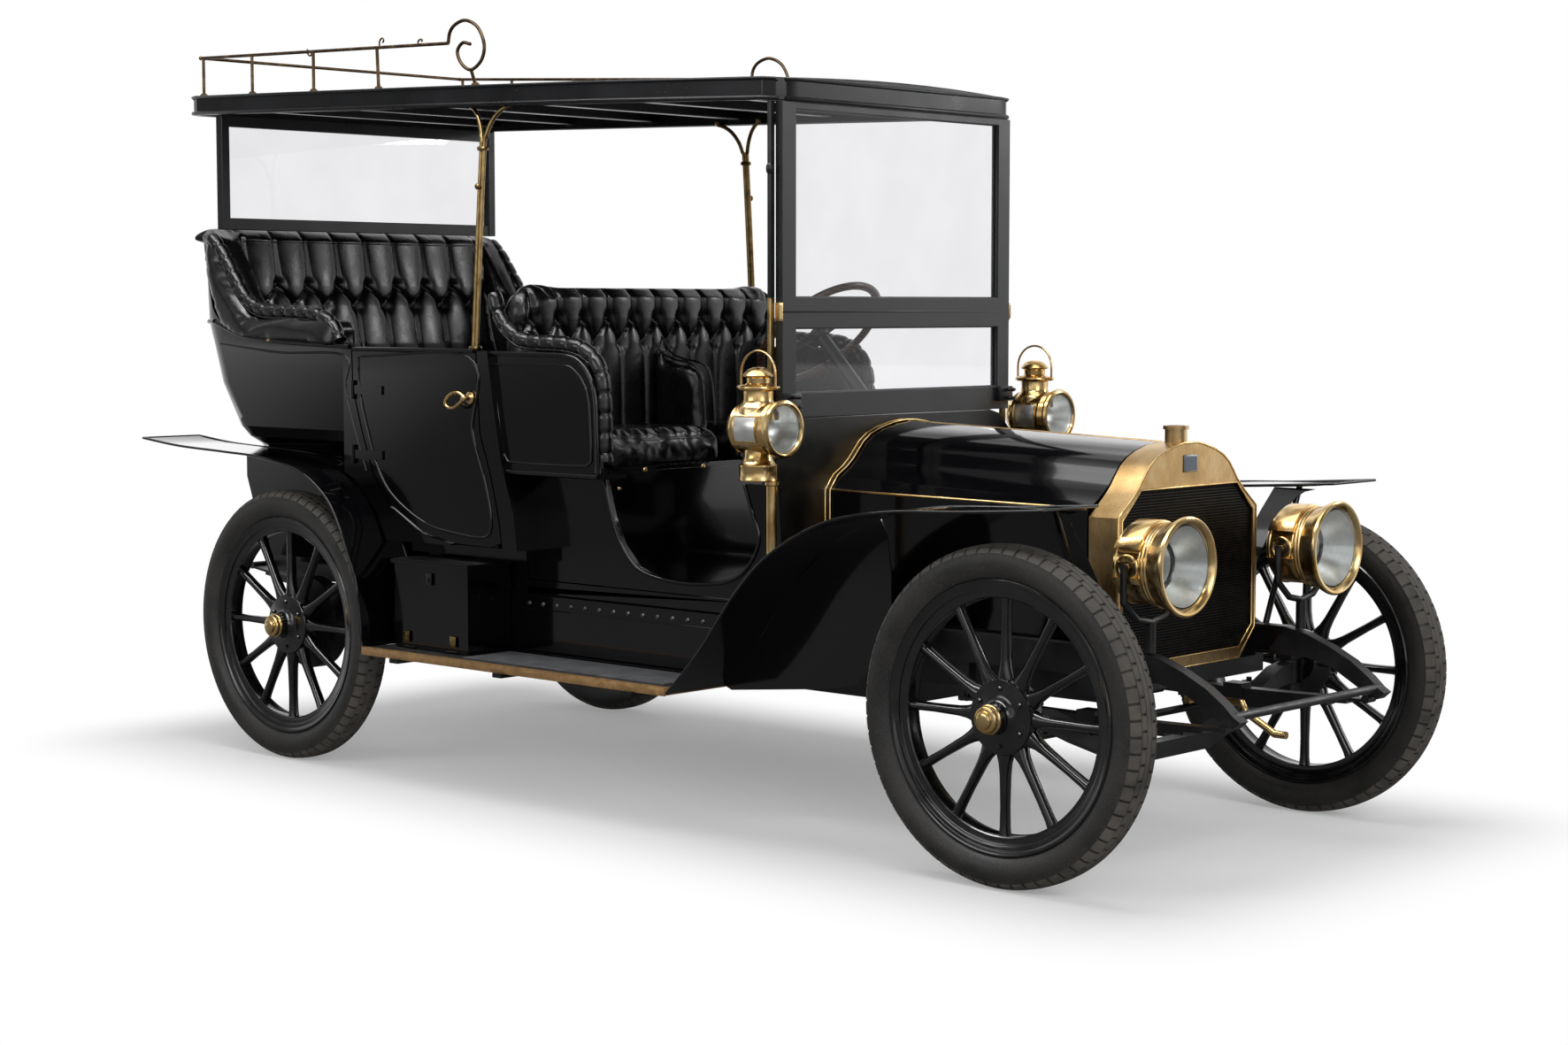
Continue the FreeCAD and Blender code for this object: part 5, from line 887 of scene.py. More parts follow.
# Stanchions: two brass rods side by side that part under the roof like a tulip, old and unlacquered.
old_brass = plain("unlacquered_old_brass", 40, 5, [(0.3, "#6e5b3a"), (0.55, "#947d52"), (0.8, "#b49a6a")],
                  (0.22, 0.4), Metallic=1.0)
POST_X, POST_OUT = -2130, 626
FORK = [
    # to each side, inward, height
    (7, 0, 1345), (7, 21, 1700), (7, 39, 1965), (11, 43, 1995), (23, 49, 2030), (45, 58, 2062),
    (72, 68, 2082), (96, 76, 2090)]
HEAD_FLANGE = [(0, 10), (10, 10), (11, 7), (8, -4), (0, -6)]
STRAP_KNOB = [(0, 0), (6, 0), (5, 6), (9, 10), (9.5, 14), (6, 18), (0, 19)]
SCREEN_KNOB = [(0, -16), (7, -15), (11, -8), (11.5, 0), (11, 8), (7, 15), (0, 16)]
parts = []
for way in (-1, 1):
    run = [at(POST_X + way * a, POST_OUT - inward, z) for a, inward, z in FORK]
    parts += [bead("rod", flowing(run, 0.010), 6.6, sides=5),
              lathe("head_flange", HEAD_FLANGE, 24, at(POST_X + way * 96, POST_OUT - 76, 2093), "Z")]
for z, inward, radius in ((1349, 0, 19), (1958, 38.5, 16.5)):
    parts.append(lathe("collar", [(0, -6), (radius, -6), (radius + 2, 0), (radius, 6), (0, 6)], 32,
                       centre=at(POST_X, POST_OUT - inward, z), axis="Z"))
parts.append(lathe("strap_knob", STRAP_KNOB, 20, centre=at(POST_X, POST_OUT - 27, 1842)))
first = joined("centre_stanchion", parts)
upper = slab("screen_stanchion", at(-990.5, 521, 1500), at(-976.5, 537, 2046.5))
lower = slab("stanchion_foot", at(-990.5, 521, 1064), at(-976.5, 537, 1500))
knob = lathe("screen_knob", SCREEN_KNOB, 24, centre=at(-983.5, 533, 1860), axis="Z")
pair(joined("strip", [upper, knob]), chassis_enamel, "black_iron")
pair(lower, old_brass, "brass")
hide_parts("canopy_stanchions")
pair(first, old_brass, "brass")

# Luggage rail: drawn rods brazed at the posts, bronzed brown, with a few lashing hooks.
bronze = plain("browned_bronze_rod", 35, 5, [(0.3, "#3b2f22"), (0.55, "#5d4a34"), (0.8, "#8a7250")],
               (0.25, 0.42), Metallic=1.0)
RAIL_REAR, RAIL_REAR_Z, RAIL_END, RAIL_END_Z, RAIL_OUT, RAIL_ROD = -3590, 2322, -2296, 2288, 580, 5.5
FAR_ONWARD, FAR_DROP = 200, 50
POSTS = (-3575, -3301, -2970, -2643)
STEM = (106, -87)
SCROLL = [
    # ahead of the rail's end, above it: up, over and round into the curl
    (0, 0), (9, 34), (36, 56), (84, 64.5), (138, 40), (168, -14), (154, -61), (106, -87), (62, -66),
    (43, -28), (68, -3), (104, -9)]
FLANGE = [(0, 0), (13, 0), (13, 3), (8, 8), (0, 10)]
BALL = [(0, 7.5), (5.3, 5.3), (7.5, 0), (5.3, -5.3), (0, -7.5)]
HOOK = [(0, -4), (0, 12), (6, 21), (16, 24), (21, 16), (16, 10)]
HOOKS_AT = [(-2630, 2301, 1.0), (-2440, 2297, 0.5), (-3000, 2312, -0.8)]
feet = [v.co for v in frame["nodes"]["luggage_rail"].data.vertices]
parts = []
for side, onward, drop in ((-1, 0, 0), (1, FAR_ONWARD, FAR_DROP)):
    end_x, end_z, out = RAIL_END + onward, RAIL_END_Z - drop, side * RAIL_OUT
    slope = (end_z - RAIL_REAR_Z) / (end_x - RAIL_REAR)
    parts += [bead("rail_rod", [at(RAIL_REAR, out, RAIL_REAR_Z), at(end_x, out, end_z)], RAIL_ROD),
              bead("rail_scroll", flowing([at(end_x + x, out, end_z + z) for x, z in SCROLL]), RAIL_ROD)]
    held = [(x, RAIL_REAR_Z + (x - RAIL_REAR) * slope) for x in POSTS] + [(end_x + STEM[0], end_z + STEM[1])]
    for x, top in held:
        foot = min([co for co in feet if abs(co.x - ahead(x)) < 0.020 and co.y * side > 0],
                   key=lambda co: co.z)
        middle = Vector((ahead(x), side * min(RAIL_OUT / 1000, abs(foot.y)), foot.z))
        parts += [bead("rail_post", [middle + Vector((0, 0, 0.002)), at(x, out, top)], RAIL_ROD),
                  lathe("post_flange", FLANGE, 20, centre=middle, axis="Z")]
parts.append(bead("rear_rod", [at(RAIL_REAR, out, RAIL_REAR_Z) for out in (-RAIL_OUT, RAIL_OUT)], RAIL_ROD))
parts += [lathe("corner_ball", BALL, 16, centre=at(RAIL_REAR, out, RAIL_REAR_Z), axis="Z")
          for out in (-RAIL_OUT, RAIL_OUT)]
finish(joined("luggage_rail_rods", parts), bronze, "bronze", "luggage_rail")
hooks = [bead("hook", flowing([at(x + a, -RAIL_OUT, z + up * size) for a, up in HOOK], 0.003), 2.8)
         for x, z, size in HOOKS_AT]
finish(joined("lashing_hooks", hooks), bronze, "bronze")

# ==== Seats: black hide over springs and horsehair. The backs are drawn in by staggered buttons, with
# pleats up to the top rail and down to the cushion; the arms end in gathered rolls with piped edges.

# Waxed hide: pores and creases that catch a soft light, a little browner where it is scuffed.
black_hide, tree = material("waxed_black_hide")
scuffs = grain(tree, 60, 5)
close(tree, ramp(tree, scuffs, (0.3, "#050506"), (0.6, "#0a0a0c"), (0.85, "#171617")),
      Roughness=spread(tree, scuffs, 0.22, 0.34), Specular_IOR_Level=0.6,
      Normal=bump(tree, pebbles(tree, 1.6), 0.12, 0.3,
                  Normal=bump(tree, grain(tree, 14, 6, 0.62), 0.6, 0.35)))


def solids_of(node):
    """The closed solids of a CAD node, as separate objects."""
    duplicate(node)
    bpy.ops.mesh.separate(type="LOOSE")
    bpy.ops.object.mode_set(mode="OBJECT")
    return list(bpy.context.selected_objects)


STUFFING_PRESSURE, STUFFING_STEPS, STITCH_FILL = 4, 12, 0.85


def padding(piece, name, voxel, inset, cap):
    """Blows a plain solid up into a stuffed form: remeshed, swollen as cloth, and held to a cap."""
    piece.name = name
    open_all(piece)
    bpy.ops.transform.shrink_fatten(value=-inset)
    bpy.ops.object.mode_set(mode="OBJECT")
    worked(piece, "REMESH", mode="VOXEL", voxel_size=voxel)
    start = [vertex.co.copy() for vertex in piece.data.vertices]
    stuffed = piece.modifiers.new("stuffed", "CLOTH")
    stuffed.settings.use_pressure = True
    stuffed.settings.uniform_pressure_force = STUFFING_PRESSURE
    stuffed.settings.quality = 4
    stuffed.settings.effector_weights.gravity = 0
    stuffed.collision_settings.use_collision = False
    stuffed.point_cache.frame_start = 1
    stuffed.point_cache.frame_end = STUFFING_STEPS
    for number in range(1, STUFFING_STEPS + 1):
        scene.frame_set(number)
    bpy.ops.object.modifier_apply(modifier="stuffed")
    scene.frame_set(1)
    for vertex, rest in zip(piece.data.vertices, start):
        moved = vertex.co - rest
        if moved.length > cap:
            vertex.co = rest + moved * (cap / moved.length)
    worked(piece, "SUBSURF", levels=1, render_levels=1)


def ease(value, low, high):
    """A smooth rise from 0 to 1 between two values."""
    share = min(max((value - low) / (high - low), 0.0), 1.0)
    return share * share * (3 - 2 * share)


def dent(distance, width):
    """How deep a crease is, from 1 at its middle to nothing past its width."""
    return math.exp(-(distance / width) ** 2)


def pleat_height(across, up, spacing, upper, lower):
    """The stuffing's height between the pleats, from 0 in a valley to 1 on a crown."""
    part = across / spacing % 1
    beside = min(part, 1 - part)
    if up >= upper:
        half, off = 0.5, abs(part - 0.5)
    elif up <= lower:
        half, off = 0.5, beside
    else:
        slant = (upper - up) / (upper - lower) / 2
        half, off = (slant, beside) if beside < slant else (0.5 - slant, 0.5 - beside)
    crown = max(1 - (off / max(half, 0.04)) ** 2, 0.0) ** 0.5
    return 0.62 * crown * (2 * half) ** 0.5 + 0.38 * (1 - dent((half - off) * spacing, 0.007))


def buttoned(piece, spacing, upper, lower, depth, low_end, high_end, reach):
    """Draws the pleats and the buttons into the faces that look forward; returns the buttons' places."""
    spots = [((k + half) * spacing, up) for half, up in ((0, upper), (0.5, lower)) for k in range(-8, 9)]
    normals = [vertex.normal.copy() for vertex in piece.data.vertices]
    seats = {}
    for vertex, normal in zip(piece.data.vertices, normals):
        y, z = vertex.co.yz
        face = ease(normal.x, 0.15, 0.6) * (1 - ease(abs(y), reach - 0.03, reach + 0.02))
        if face == 0:
            continue
        nearest, spot = min((((y - a) ** 2 + (z - b) ** 2) ** 0.5, (a, b)) for a, b in spots)
        fade = 0.42 + 0.58 * math.exp(-abs(z - (upper + lower) / 2) / 0.09)
        ends = ease(z, low_end, low_end + 0.05) * (1 - 0.5 * ease(z, high_end - 0.05, high_end))
        drawn_in = fade * ends * (1 - pleat_height(y, z, spacing, upper, lower)) + 0.6 * dent(nearest, 0.020)
        vertex.co.x -= depth * drawn_in * face
        if nearest < 0.006:
            seats[spot] = vertex.co + DIRECTIONS["X"] * 0.003
    return list(seats.values())


def upholstered(piece, *nodes):
    """Covers a stuffed piece in hide."""
    alone(piece)
    bpy.ops.object.shade_smooth()
    finish(piece, black_hide, "leather", *nodes)


REAR_LIMIT, WIDE = ahead(-2600), 0.8
# Name; voxel, inset and cap; then the buttons' spacing, upper and lower row, depth, foot, head, reach.
ARM_PAD = ("arm_padding", (0.012, 0.003, 0.010), None)
REAR_BACK = ("rear_seat_back", (0.010, 0.006, 0.020), (0.131, 1.550, 1.478, 0.030, 1.10, 1.76, 0.545))
FRONT_BACK = ("front_seat_back", (0.009, 0.006, 0.016), (0.106, 1.440, 1.362, 0.029, 1.02, 1.62, 0.560))
BUTTON = [(0, 4.5), (3.5, 4), (6, 2), (6.5, 0), (0, -1)]
seat_parts = solids_of("seat_backs")
buttons = []
for part in seat_parts:
    spots = [vertex.co for vertex in part.data.vertices]
    wide = max(co.y for co in spots) - min(co.y for co in spots) > WIDE
    behind = sum(co.x for co in spots) / len(spots) < REAR_LIMIT
    name, fill, pattern = ARM_PAD if not wide else REAR_BACK if behind else FRONT_BACK
    padding(part, name, *fill)
    if pattern:
        buttons += buttoned(part, *pattern)
    upholstered(part, *(["seat_backs"] if part is seat_parts[0] else []))
button = lathe("hide_button", BUTTON, 12, axis="X")
sewn = [copied(button, Matrix.Translation(spot)) for spot in buttons]
finish(joined("buttons", sewn), black_hide, "leather")
bpy.data.objects.remove(button)

PLEAT = 0.062
for part in solids_of("seat_cushions"):
    middle = sum(vertex.co.y for vertex in part.data.vertices) / len(part.data.vertices)
    padding(part, "cushion", 0.011, 0.006, 0.022)
    top = max(v.co.z for v in part.data.vertices)
    front = max(v.co.x for v in part.data.vertices)
    for vertex, normal in zip(part.data.vertices, [v.normal.copy() for v in part.data.vertices]):
        share = (vertex.co.y - middle) / PLEAT
        over = ease(normal.z, 0.3, 0.8) * (1 - 0.8 * ease(vertex.co.x, front - 0.05, front - 0.01))
        vertex.co.z -= over * 0.009 * dent((share - round(share)) * PLEAT, 0.008)
        vertex.co -= normal * 0.005 * dent(top - 0.028 - vertex.co.z, 0.006) * (1 - over)
    upholstered(part, "seat_cushions")

GATHER = 0.058
ROLL_FRONT = [
    # ahead of the front axle, height: the near edge of the front seat's arm roll
    (-2075, 1515), (-2045, 1440), (-1985, 1392), (-1920, 1371), (-1735, 1362), (-1655, 1338), (-1608, 1290),
    (-1590, 1210), (-1586, 1020)]
ROLL_REAR = [
    (-3480, 1712), (-3420, 1660), (-3340, 1560), (-3283, 1500), (-3194, 1464), (-3050, 1458), (-2911, 1450),
    (-2830, 1420), (-2790, 1365)]
MIDDLE_EDGE = [
    # ahead of the front axle, height: the piping along the armrest between the two places
    (-1966, 1380), (-1925, 1330), (-1860, 1308), (-1790, 1297), (-1752, 1262), (-1738, 1180), (-1735, 1105)]


def gathered(travelled):
    """The arm roll's thickness where the hide is drawn together every few centimetres."""
    share = travelled / GATHER
    return 1.0 - 0.20 * dent((share - round(share)) * GATHER, 0.006)


for hand, side in HANDS:
    for place, run, out in (("front", ROLL_FRONT, 596), ("rear", ROLL_REAR, 628)):
        points = flowing([at(x, side * out, z) for x, z in run])
        upholstered(bead("%s_arm_roll_%s" % (place, hand), points, 24, bulge=gathered, sides=5))
        edge = [p + Vector((0, side * 0.016, -0.020)) for p in points]
        finish(bead("%s_arm_piping_%s" % (place, hand), edge, 3.5), black_hide, "leather")
pair(bead("middle_arm_piping", flowing([at(x, 21.5, z) for x, z in MIDDLE_EDGE]), 3.8), black_hide, "leather")

# ==== Fenders, running boards and tool boxes: beaten sheet with wired edges, boards capped with brass
# strip and laid with ribbed matting, studded valances, and leathercloth-topped boxes with brass hinges.
for node in ("front_fenders", "rear_fenders", "valances", "toolboxes", "toolbox_flap_left",
             "toolbox_flap_right"):
    dressed(node, coach_black, turn=24)
FENDER_TOP = [
    # ahead of the front axle, height: the front and the rear fender's run, seen from the side
    [(170, 977), (-99, 960), (-333, 948), (-547, 909), (-738, 816), (-870, 699), (-1005, 530), (-1136, 396)],
    [(-3655, 1030), (-3452, 1011), (-3200, 1000), (-3012, 990), (-2811, 957), (-2699, 905), (-2619, 830),
      (-2542, 685), (-2508, 600), (-2484, 409)]]
FENDER_IN, FENDER_OUT, WIRE = 568, 796.5, 4.2
for run in FENDER_TOP:
    outer, inner = (flowing([at(x, out, z - 1.5) for x, z in run], 0.015) for out in (FENDER_OUT, FENDER_IN))
    pair(bead("wired_edge", outer[::-1] + inner, WIRE), coach_black, "black_paint")

# Apron: a sheet that closes the gap between each front fender's inner edge and the frame.
APRON = [
    # out from the middle, height, front edge ahead of the front axle
    (0.378, 0.56, 0.034), (0.378, 0.745, 0.04), (0.386, 0.768, 0.04), (0.44, 0.838, 0.042),
    (0.5, 0.897, 0.052), (0.545, 0.936, 0.066), (0.56, 0.95, 0.082), (0.57, 0.9575, 0.11)]
APRON_BACK = ahead(-24)
apron = band("front_apron", [(y, z) for y, z, x in APRON], ahead(0), APRON_BACK, 0.0016)
for vertex in apron.data.vertices:
    if vertex.co.x > APRON_BACK + 0.01:
        vertex.co.x += min(APRON, key=lambda row: math.hypot(row[0] - vertex.co.y, row[1] - vertex.co.z))[2]
pair(apron, coach_black, "black_paint")

# Board paint, scuffed by shoes and dusty in the scratches.
board_paint = plain("scuffed_board_paint", 30, 6, [(0.35, "#121213"), (0.75, "#3a3835")], (0.35, 0.6))
# Grey rubber matting, dull, with ribs that run across the board.
matting, tree = material("ribbed_grey_matting")
ribs = add(tree, "TexWave", {"Vector": own(tree), "Scale": 110.0}, bands_direction="Y").outputs["Fac"]
close(tree, ramp(tree, grain(tree, 60, 5), (0.3, "#3c3e41"), (0.7, "#5a5c5f")), Roughness=0.62,
      Normal=bump(tree, ribs, 0.8, 0.8))
# A strip of sheet brass along the edge, worn to a soft sheen.
edge_brass = plain("worn_sheet_brass_strip", 18, 5, [(0.3, "#a98457"), (0.7, "#c49d6c")], (0.35, 0.55),
                   Metallic=0.8)
# Domed iron screws, their paint rubbed through to grey metal.
worn_iron = plain("rubbed_black_iron", 6, 3, [(0.3, "#2c2c2d"), (0.7, "#77777a")], 0.32, Metallic=0.7)

dressed("running_boards", board_paint)
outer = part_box("running_boards")[1].y * 1000
inner = outer - 253
EDGES = [
    # name, front, back, inner, outer, low, high
    ("board_edge", -1138, -2480, outer - 2, outer + 3.5, 387.5, 411.5),
    ("board_cap", -1138, -2480, outer - 16, outer + 3.5, 408.5, 411.8),
    ("board_end", -1134.5, -1138.5, inner + 4, outer, 389.5, 411.5)]
strips = [slab(name, at(back, near, low), at(front, far, high), 0.0007)
          for name, front, back, near, far, low, high in EDGES]
pair(joined("board_strip", strips), edge_brass, "brass")
pair(slab("mat", at(-2036, inner + 28, 412.5), at(-1179, outer - 34, 415.5), 0.0012), matting, "rubber")

STUD = [(0, -1), (7.5, -1), (7.2, 1.8), (5, 4.6), (0, 5.8)]
STUD_HEADS, STUD_PITCH = 13, 62
heads = [lathe("stud", STUD, 12, centre=at(-1985 + STUD_PITCH * k, 540, 566)) for k in range(STUD_HEADS)]
pair(joined("valance_studs", heads), worn_iron, "black_iron")
pair(slab("valance_rib", at(-2045, 539, 548), at(-1155, 542.5, 551.5)), coach_black, "black_paint")

case_low, case_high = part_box("toolboxes")
flap_low, flap_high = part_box("toolbox_flap_left")
pair(slab("box_top", (case_low.x + 0.006, 0.560, case_high.z - 0.0008),
          (case_high.x - 0.006, 0.720, case_high.z + 0.0022)), leathercloth, "leather")
HINGES, CLASP = (-2355, -2135), ahead(-2245)
LEAF_SCREW = [(0, 0), (3.5, 0), (3, 1.5), (0, 2)]
leaves = []
for x in HINGES:
    leaves.append(slab("flap_leaf", (ahead(x - 13), flap_high.y - 0.0005, flap_low.z + 0.018),
                       (ahead(x + 13), flap_high.y + 0.0022, flap_low.z + 0.052)))
    leaves += [lathe("leaf_screw", LEAF_SCREW, 10, centre=(ahead(x), flap_high.y + 0.0020, flap_low.z + z))
               for z in (0.027, 0.042)]
pair(joined("flap_hinge_leaves", leaves), old_brass, "brass", "toolbox_flap_left")
clasp = [slab("clasp_plate", (CLASP - 0.012, flap_high.y - 0.0005, flap_high.z - 0.060),
              (CLASP + 0.012, flap_high.y + 0.0025, flap_high.z - 0.022)),
         lathe("clasp_stud", [(0, 0), (6, 0), (6, 5), (0, 6.5)], 16,
               centre=(CLASP, flap_high.y + 0.002, flap_high.z - 0.041))]
pair(joined("flap_clasp", clasp), chassis_enamel, "black_iron", "toolbox_flap_left")

# ==== Steering and starting: a steamed walnut rim on a four-armed iron spider, raked on its column, and
# the cranked brass starting handle in front.

# Oiled walnut: dark growth rings drawn along the bend, under a thin varnish.
walnut, tree = material("oiled_walnut_rim")
rings = add(tree, "TexWave", {"Vector": own(tree), "Scale": 28.0, "Distortion": 6.0, "Detail": 3.0},
            wave_type="RINGS").outputs["Fac"]
close(tree, ramp(tree, rings, (0.2, "#2a1a12"), (0.6, "#4a3021"), (0.9, "#5c3d2a")),
      Roughness=0.32, Coat_Weight=0.3, Coat_Roughness=0.1)
HUB, RAKE = at(-1540, 300, 1390), Vector((-165, 0, 170)).normalized()
raked = Matrix.Translation(HUB) @ RAKE.to_track_quat("Z", "Y").to_matrix().to_4x4()
RIM, RIM_WIDE, RIM_DEEP, RIM_SIDES = 216.5, 14, 11.5, 20
turns = [math.tau * k / RIM_SIDES for k in range(RIM_SIDES)]
section = [(RIM + RIM_WIDE * math.cos(turn), RIM_DEEP * math.sin(turn)) for turn in turns]
plain_rim = lathe("rim", section + section[:1], 120, axis="Z", smooth=60)
plain_rim.data.transform(raked)
plain_rim.name = "walnut_rim"
finish(plain_rim, walnut, "painted_wood", "steering_wheel", body="steering_wheel")
ARM = [
    # distance from the hub, width, depth
    (20, 34, 8), (60, 24, 7), (130, 20, 6), (185, 24, 6), (206, 34, 6)]
BOSS_TURNING = [(0, -18), (26, -18), (34, -6), (34, 6), (28, 13), (16, 16), (14, 20), (0, 22)]
arm = drawn("arm", ARM, sides=12)
arm.data.transform(Matrix.Rotation(math.pi / 2, 4, "Y"))
parts = ring(arm, 4, 0.5, "Z", raked)
boss = lathe("boss", BOSS_TURNING, 32, axis="Z")
boss.data.transform(raked)
finish(joined("wheel_spider", parts + [boss]), chassis_enamel, "black_iron", body="steering_wheel")
dressed("starting_handle", brass, edge=0, turn=40)

# ==== Lamps: spun brass drums, soldered and polished. The headlamps have silvered cones behind plain
# glass and hang in iron forks; the side lamps stand on brass posts, with bevelled side panes.

# Silvered sheet: almost a mirror, breathed on a little so that it scatters the room.
silvered = plain("silvered_reflector", 40, 2, [(0.3, "#e6e6e4"), (0.7, "#f4f4f2")], (0.3, 0.36), Metallic=1.0)
# Steel blued by the flame, a dark ring inside the bright cone.
smoked_ring = plain("heat_blued_steel_ring", 12, 3, [(0.3, "#3a3b3d"), (0.7, "#6a6b6c")], 0.3, Metallic=1.0)
# Blown lamp glass: clear, with a faint cool seed in it.
coat(frame["nodes"]["lamp_glasses"], clear_pane("blown_clear_lamp_glass", "#f2f4f4", "#f9fafa", 1.4, 12))


def wedge(name, inner, outer, back, front, centre, start, sweep, steps):
    """Part of a round band, in millimetres, about a lengthwise axis, from degrees off the top."""
    inner, outer, back, front = (size / 1000 for size in (inner, outer, back, front))
    start = math.radians(start)
    spot = centre + Matrix.Rotation(start, 3, "X") @ Vector(((back + front) / 2, 0, (inner + outer) / 2))
    piece = begin(name, "plane", size=1, location=spot, rotation=(math.pi / 2 + start, 0, 0))
    bpy.ops.transform.resize(value=(front - back, outer - inner, 1), orient_type="LOCAL")
    bpy.ops.mesh.bevel(offset=min(outer - inner, front - back) * 0.3, segments=2, affect="VERTICES")
    bpy.ops.mesh.select_all(action="SELECT")
    bpy.ops.mesh.spin(steps=steps, angle=-math.radians(sweep), center=centre, axis=(1, 0, 0))
    return end(piece, 40)


HEADLAMP = [
    # radius, ahead of the rim: lens lip, flared rim, three beads, drum, rear bead, domed back
    (107, -16), (108.5, -12), (112, -6), (118, -0.5), (124, 0), (128.5, -2.5), (130, -7.5), (129, -13),
    (121.5, -29), (113, -50), (109.5, -60), (112, -63), (112, -66), (108.5, -69), (106, -72), (109, -75),
    (109, -78), (105, -81), (103.5, -84), (106, -86.5), (106, -89), (103.2, -91.5), (103, -100), (103, -156),
    (105.2, -158.5), (105.2, -163.5), (101.5, -167), (96, -172.5), (80, -180), (52, -185.5), (0, -187.5)]
CONE = [(104.5, -15.5), (62, -88)]
CONE_RING = [(62, -88), (58.5, -85), (55, -88), (54.5, -96)]
MIRROR = [(54.5, -96), (54, -130), (38, -142), (0, -147)]
BOSS = [
    # radius, outward from the drum's middle
    (0, 112.5), (7, 112), (8.5, 109), (19, 108.5), (23, 111), (28, 112.5), (32.5, 111), (35, 107), (35.5, 90)]
BOSS_SCREW = [(0, 115), (2.2, 114.5), (3, 112.5), (3, 108)]
TRUNNION_BACK, RIM_RADIUS = 118, 0.130
BANDS = [
    # name, inner and outer radius, half its length, start and sweep in degrees off the top
    ("saddle", 100, 117, 34, -58, 116), ("saddle_foot", 101, 125, 40, -67, 14),
    ("saddle_foot", 101, 125, 40, 53, 14), ("trunnion_skirt", 100.5, 108.5, 37, -144, 32),
    ("trunnion_skirt", 100.5, 108.5, 37, 112, 32), ("trunnion_bar", 101, 118, 43, -111, 8),
    ("trunnion_bar", 101, 118, 43, 103, 8)]
INSIDES = [
    # name, profile, steps, finish, slot
    ("cone_", CONE, 72, silvered, "brass"), ("cone_ring_", CONE_RING, 48, smoked_ring, "iron"),
    ("mirror_", MIRROR, 48, silvered, "brass")]
lamp_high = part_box("headlamps")[1]
for hand, side in HANDS:
    hub = Vector((lamp_high.x, side * (lamp_high.y - RIM_RADIUS), lamp_high.z - RIM_RADIUS))
    parts = [lathe("drum", HEADLAMP, 96, centre=hub, axis="X", smooth=30)]
    for name, inner, outer, half, start, sweep in BANDS:
        parts.append(wedge(name, inner, outer, -TRUNNION_BACK - half, half - TRUNNION_BACK, hub, start, sweep,
                           max(4, sweep // 3)))
    for outward in (0, math.pi):
        boss = [lathe("boss", BOSS, 36, smooth=40)]
        boss += ring(lathe("boss_screw", BOSS_SCREW, 8, centre=(0.0265, 0, 0)), 3, 0.75)
        for part in boss:
            part.data.transform(Matrix.Translation(hub - Vector((TRUNNION_BACK / 1000, 0, 0)))
                                @ Matrix.Rotation(outward, 4, "Z"))
        parts += boss
    finish(joined("headlamp_" + hand, parts), brass, "brass", *(["headlamps"] if side > 0 else []))
    for name, profile, steps, paint, slot in INSIDES:
        finish(lathe(name + hand, profile, steps, centre=hub, axis="X"), paint, slot)

SIDE_DRUM = [
    # radius, ahead of the rim: lens lip, bevelled rim, beads, drum, rear bead, domed back
    (65, -7.5), (68, -2), (72, 0), (78.5, -2.2), (81.8, -8.5), (80.3, -15), (75, -20), (71.2, -23),
    (73.3, -26.2), (71.2, -29.3), (73.3, -32.5), (71.2, -35.5), (73.3, -38.6), (70.5, -42), (70, -50),
    (70, -147), (72, -150), (70, -153.5), (66.8, -160), (57.5, -171), (39, -180.5), (18.3, -184.5),
    (0, -185.5)]
STACK_TOP = [
    # radius, above the lamp's middle: domed cap, neck, flared ring, chimney, skirt
    (0, 170), (15, 169), (28.5, 163), (38, 154), (43.3, 147), (42.7, 144), (35.4, 142.2), (33, 139.5),
    (32.5, 126), (38, 122), (54, 120), (60, 117), (61.2, 112.5), (59, 107.5), (49, 105.5), (42.8, 103.5),
    (42, 80.5), (45.2, 72), (52.5, 63.5), (58.5, 54), (58.5, 24)]
STACK_FOOT = [
    # radius, above the lamp's middle: neck, then the oil font between two beads
    (40, -36), (39, -60), (39.2, -76), (43, -88), (50, -98.5), (54, -101), (54.6, -104.5), (53.2, -108.5),
    (53.2, -139), (54.6, -142.5), (53.7, -145.5), (48, -147), (0, -147)]
SIDE_MIRROR = [(64.8, -10), (60.8, -18), (50, -61), (30, -83), (0, -90)]
PANE_EDGES = [
    # start and sweep in degrees off the middle of the side, front and back of the strip
    (-31, 3, -50, -137), (28, 3, -50, -137), (-31, 62, -50, -54.5), (-31, 62, -132.5, -137)]
EAR = [(0, 4), (4.5, 4), (5.5, 0), (4.5, -4), (0, -4)]
SIDE_RIM, SIDE_UP, STACK_BACK, POST_BACK = 0.082, 0.170, 0.103, 0.052
EAR_OUT, EAR_UP, BAIL_RISE, BAIL_STEPS = 0.065, 0.113, 0.037, 20
POST_RADIUS, FENDER_FALL = 15.5, 1.2
side_low, side_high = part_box("side_lamps")
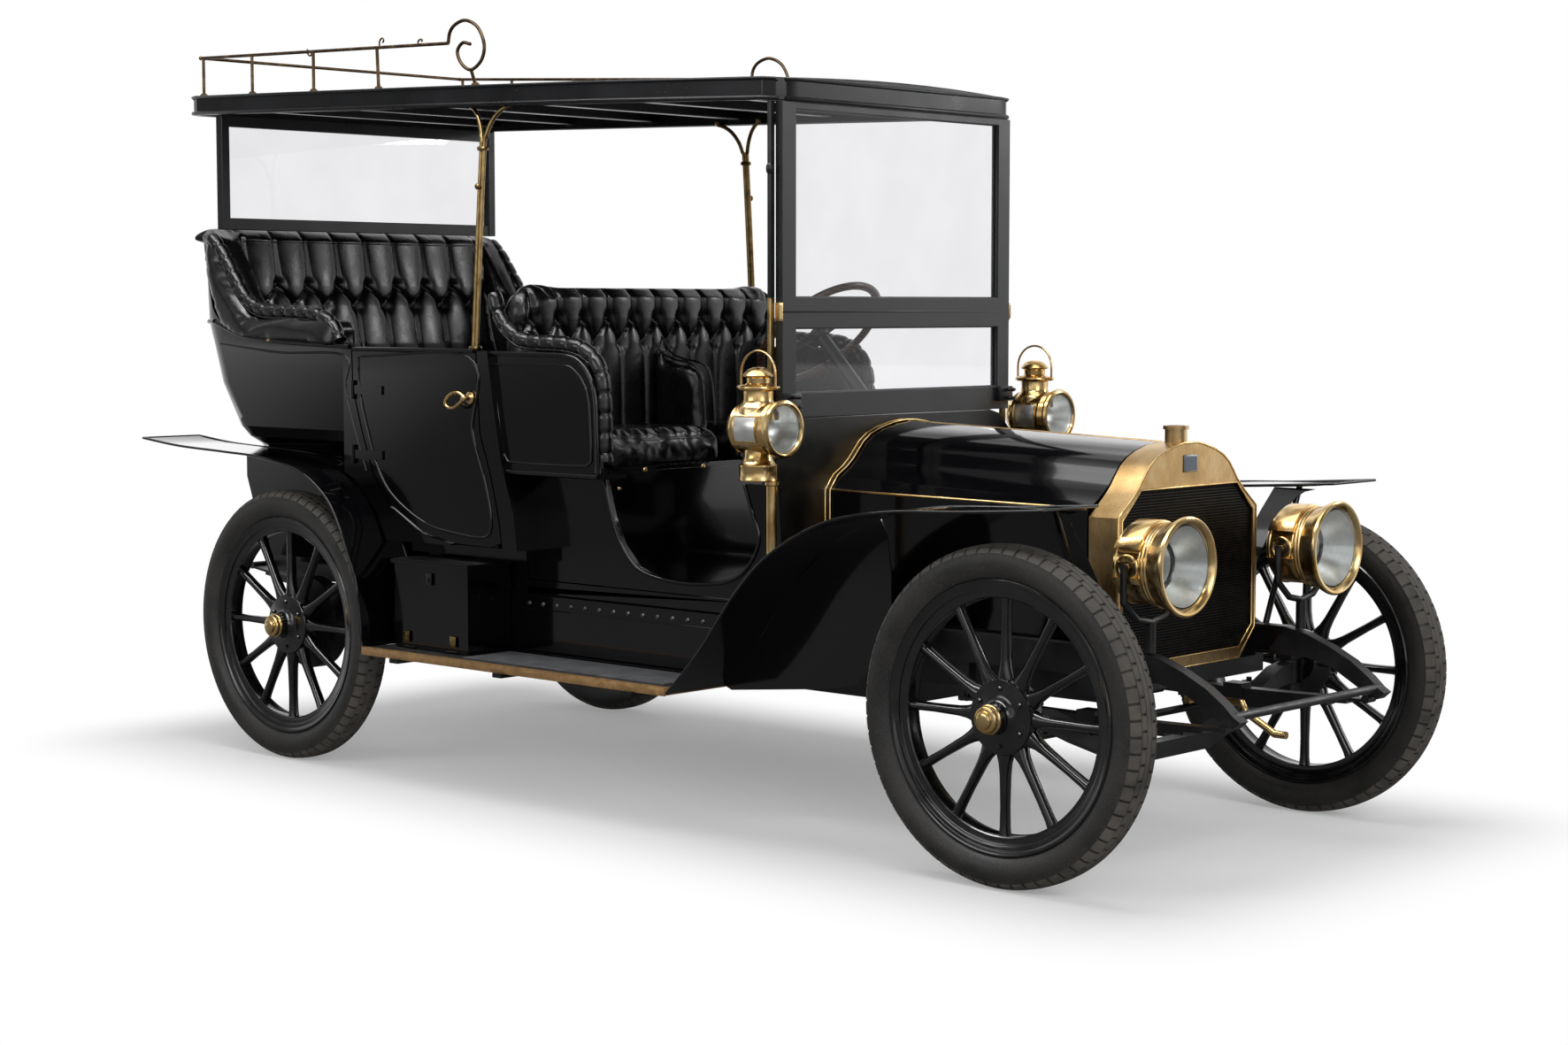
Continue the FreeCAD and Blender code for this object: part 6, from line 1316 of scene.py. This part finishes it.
for hand, side in HANDS:
    hub = Vector((side_high.x, side * (side_high.y - SIDE_RIM), side_high.z - SIDE_UP))
    stem = hub - Vector((STACK_BACK, 0, 0))
    foot = side_low.z - hub.z
    post = [(0, foot * 1000), (POST_RADIUS, foot * 1000), (POST_RADIUS, -158), (20, -155), (20, -146),
            (0, -146)]
    parts = [lathe("side_drum", SIDE_DRUM, 64, centre=hub, axis="X", smooth=30),
             lathe("stack_top", STACK_TOP, 48, centre=stem, axis="Z"),
             lathe("stack_foot", STACK_FOOT, 48, centre=stem, axis="Z"),
             lathe("lamp_post", post, 32, centre=hub - Vector((POST_BACK, 0, 0)), axis="Z")]
    # The post's foot is cut to the fender's slope.
    open_all(parts[-1])
    bpy.ops.mesh.bisect(plane_co=hub + Vector((-POST_BACK - POST_RADIUS / 1000, 0, foot)), use_fill=True,
                        plane_no=Vector((-FENDER_FALL, 0, 1)).normalized(), clear_inner=True)
    end(parts[-1])
    for way in (-1, 1):
        parts += [wedge("pane_frame", 69, 72.6, back, front, hub, way * 90 + start, sweep, max(2, sweep // 4))
                  for start, sweep, front, back in PANE_EDGES]
        parts.append(lathe("bail_ear", EAR, 16, centre=stem + Vector((way * EAR_OUT, 0, EAR_UP))))
        finish(wedge("side_pane", 69, 71.1, -133.5, -53.5, hub, way * 90 - 31, 62, 16), silvered, "glass")
    bend = [math.pi * k / BAIL_STEPS for k in range(BAIL_STEPS + 1)]
    loop = [(-EAR_OUT, EAR_UP), (-EAR_OUT, EAR_UP + 0.03)]
    loop += [(-EAR_OUT * math.cos(turn), EAR_UP + BAIL_RISE + EAR_OUT * math.sin(turn)) for turn in bend]
    loop += [(EAR_OUT, EAR_UP + 0.03), (EAR_OUT, EAR_UP)]
    parts.append(bead("bail_handle", [stem + Vector((x, 0, z)) for x, z in loop], 3.3))
    finish(joined("side_lamp_" + hand, parts), brass, "brass", *(["side_lamps"] if side > 0 else []))
    finish(lathe("side_mirror_" + hand, SIDE_MIRROR, 48, centre=hub, axis="X"), silvered, "brass")

# ==== Size: the dressed car's box.
low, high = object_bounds()
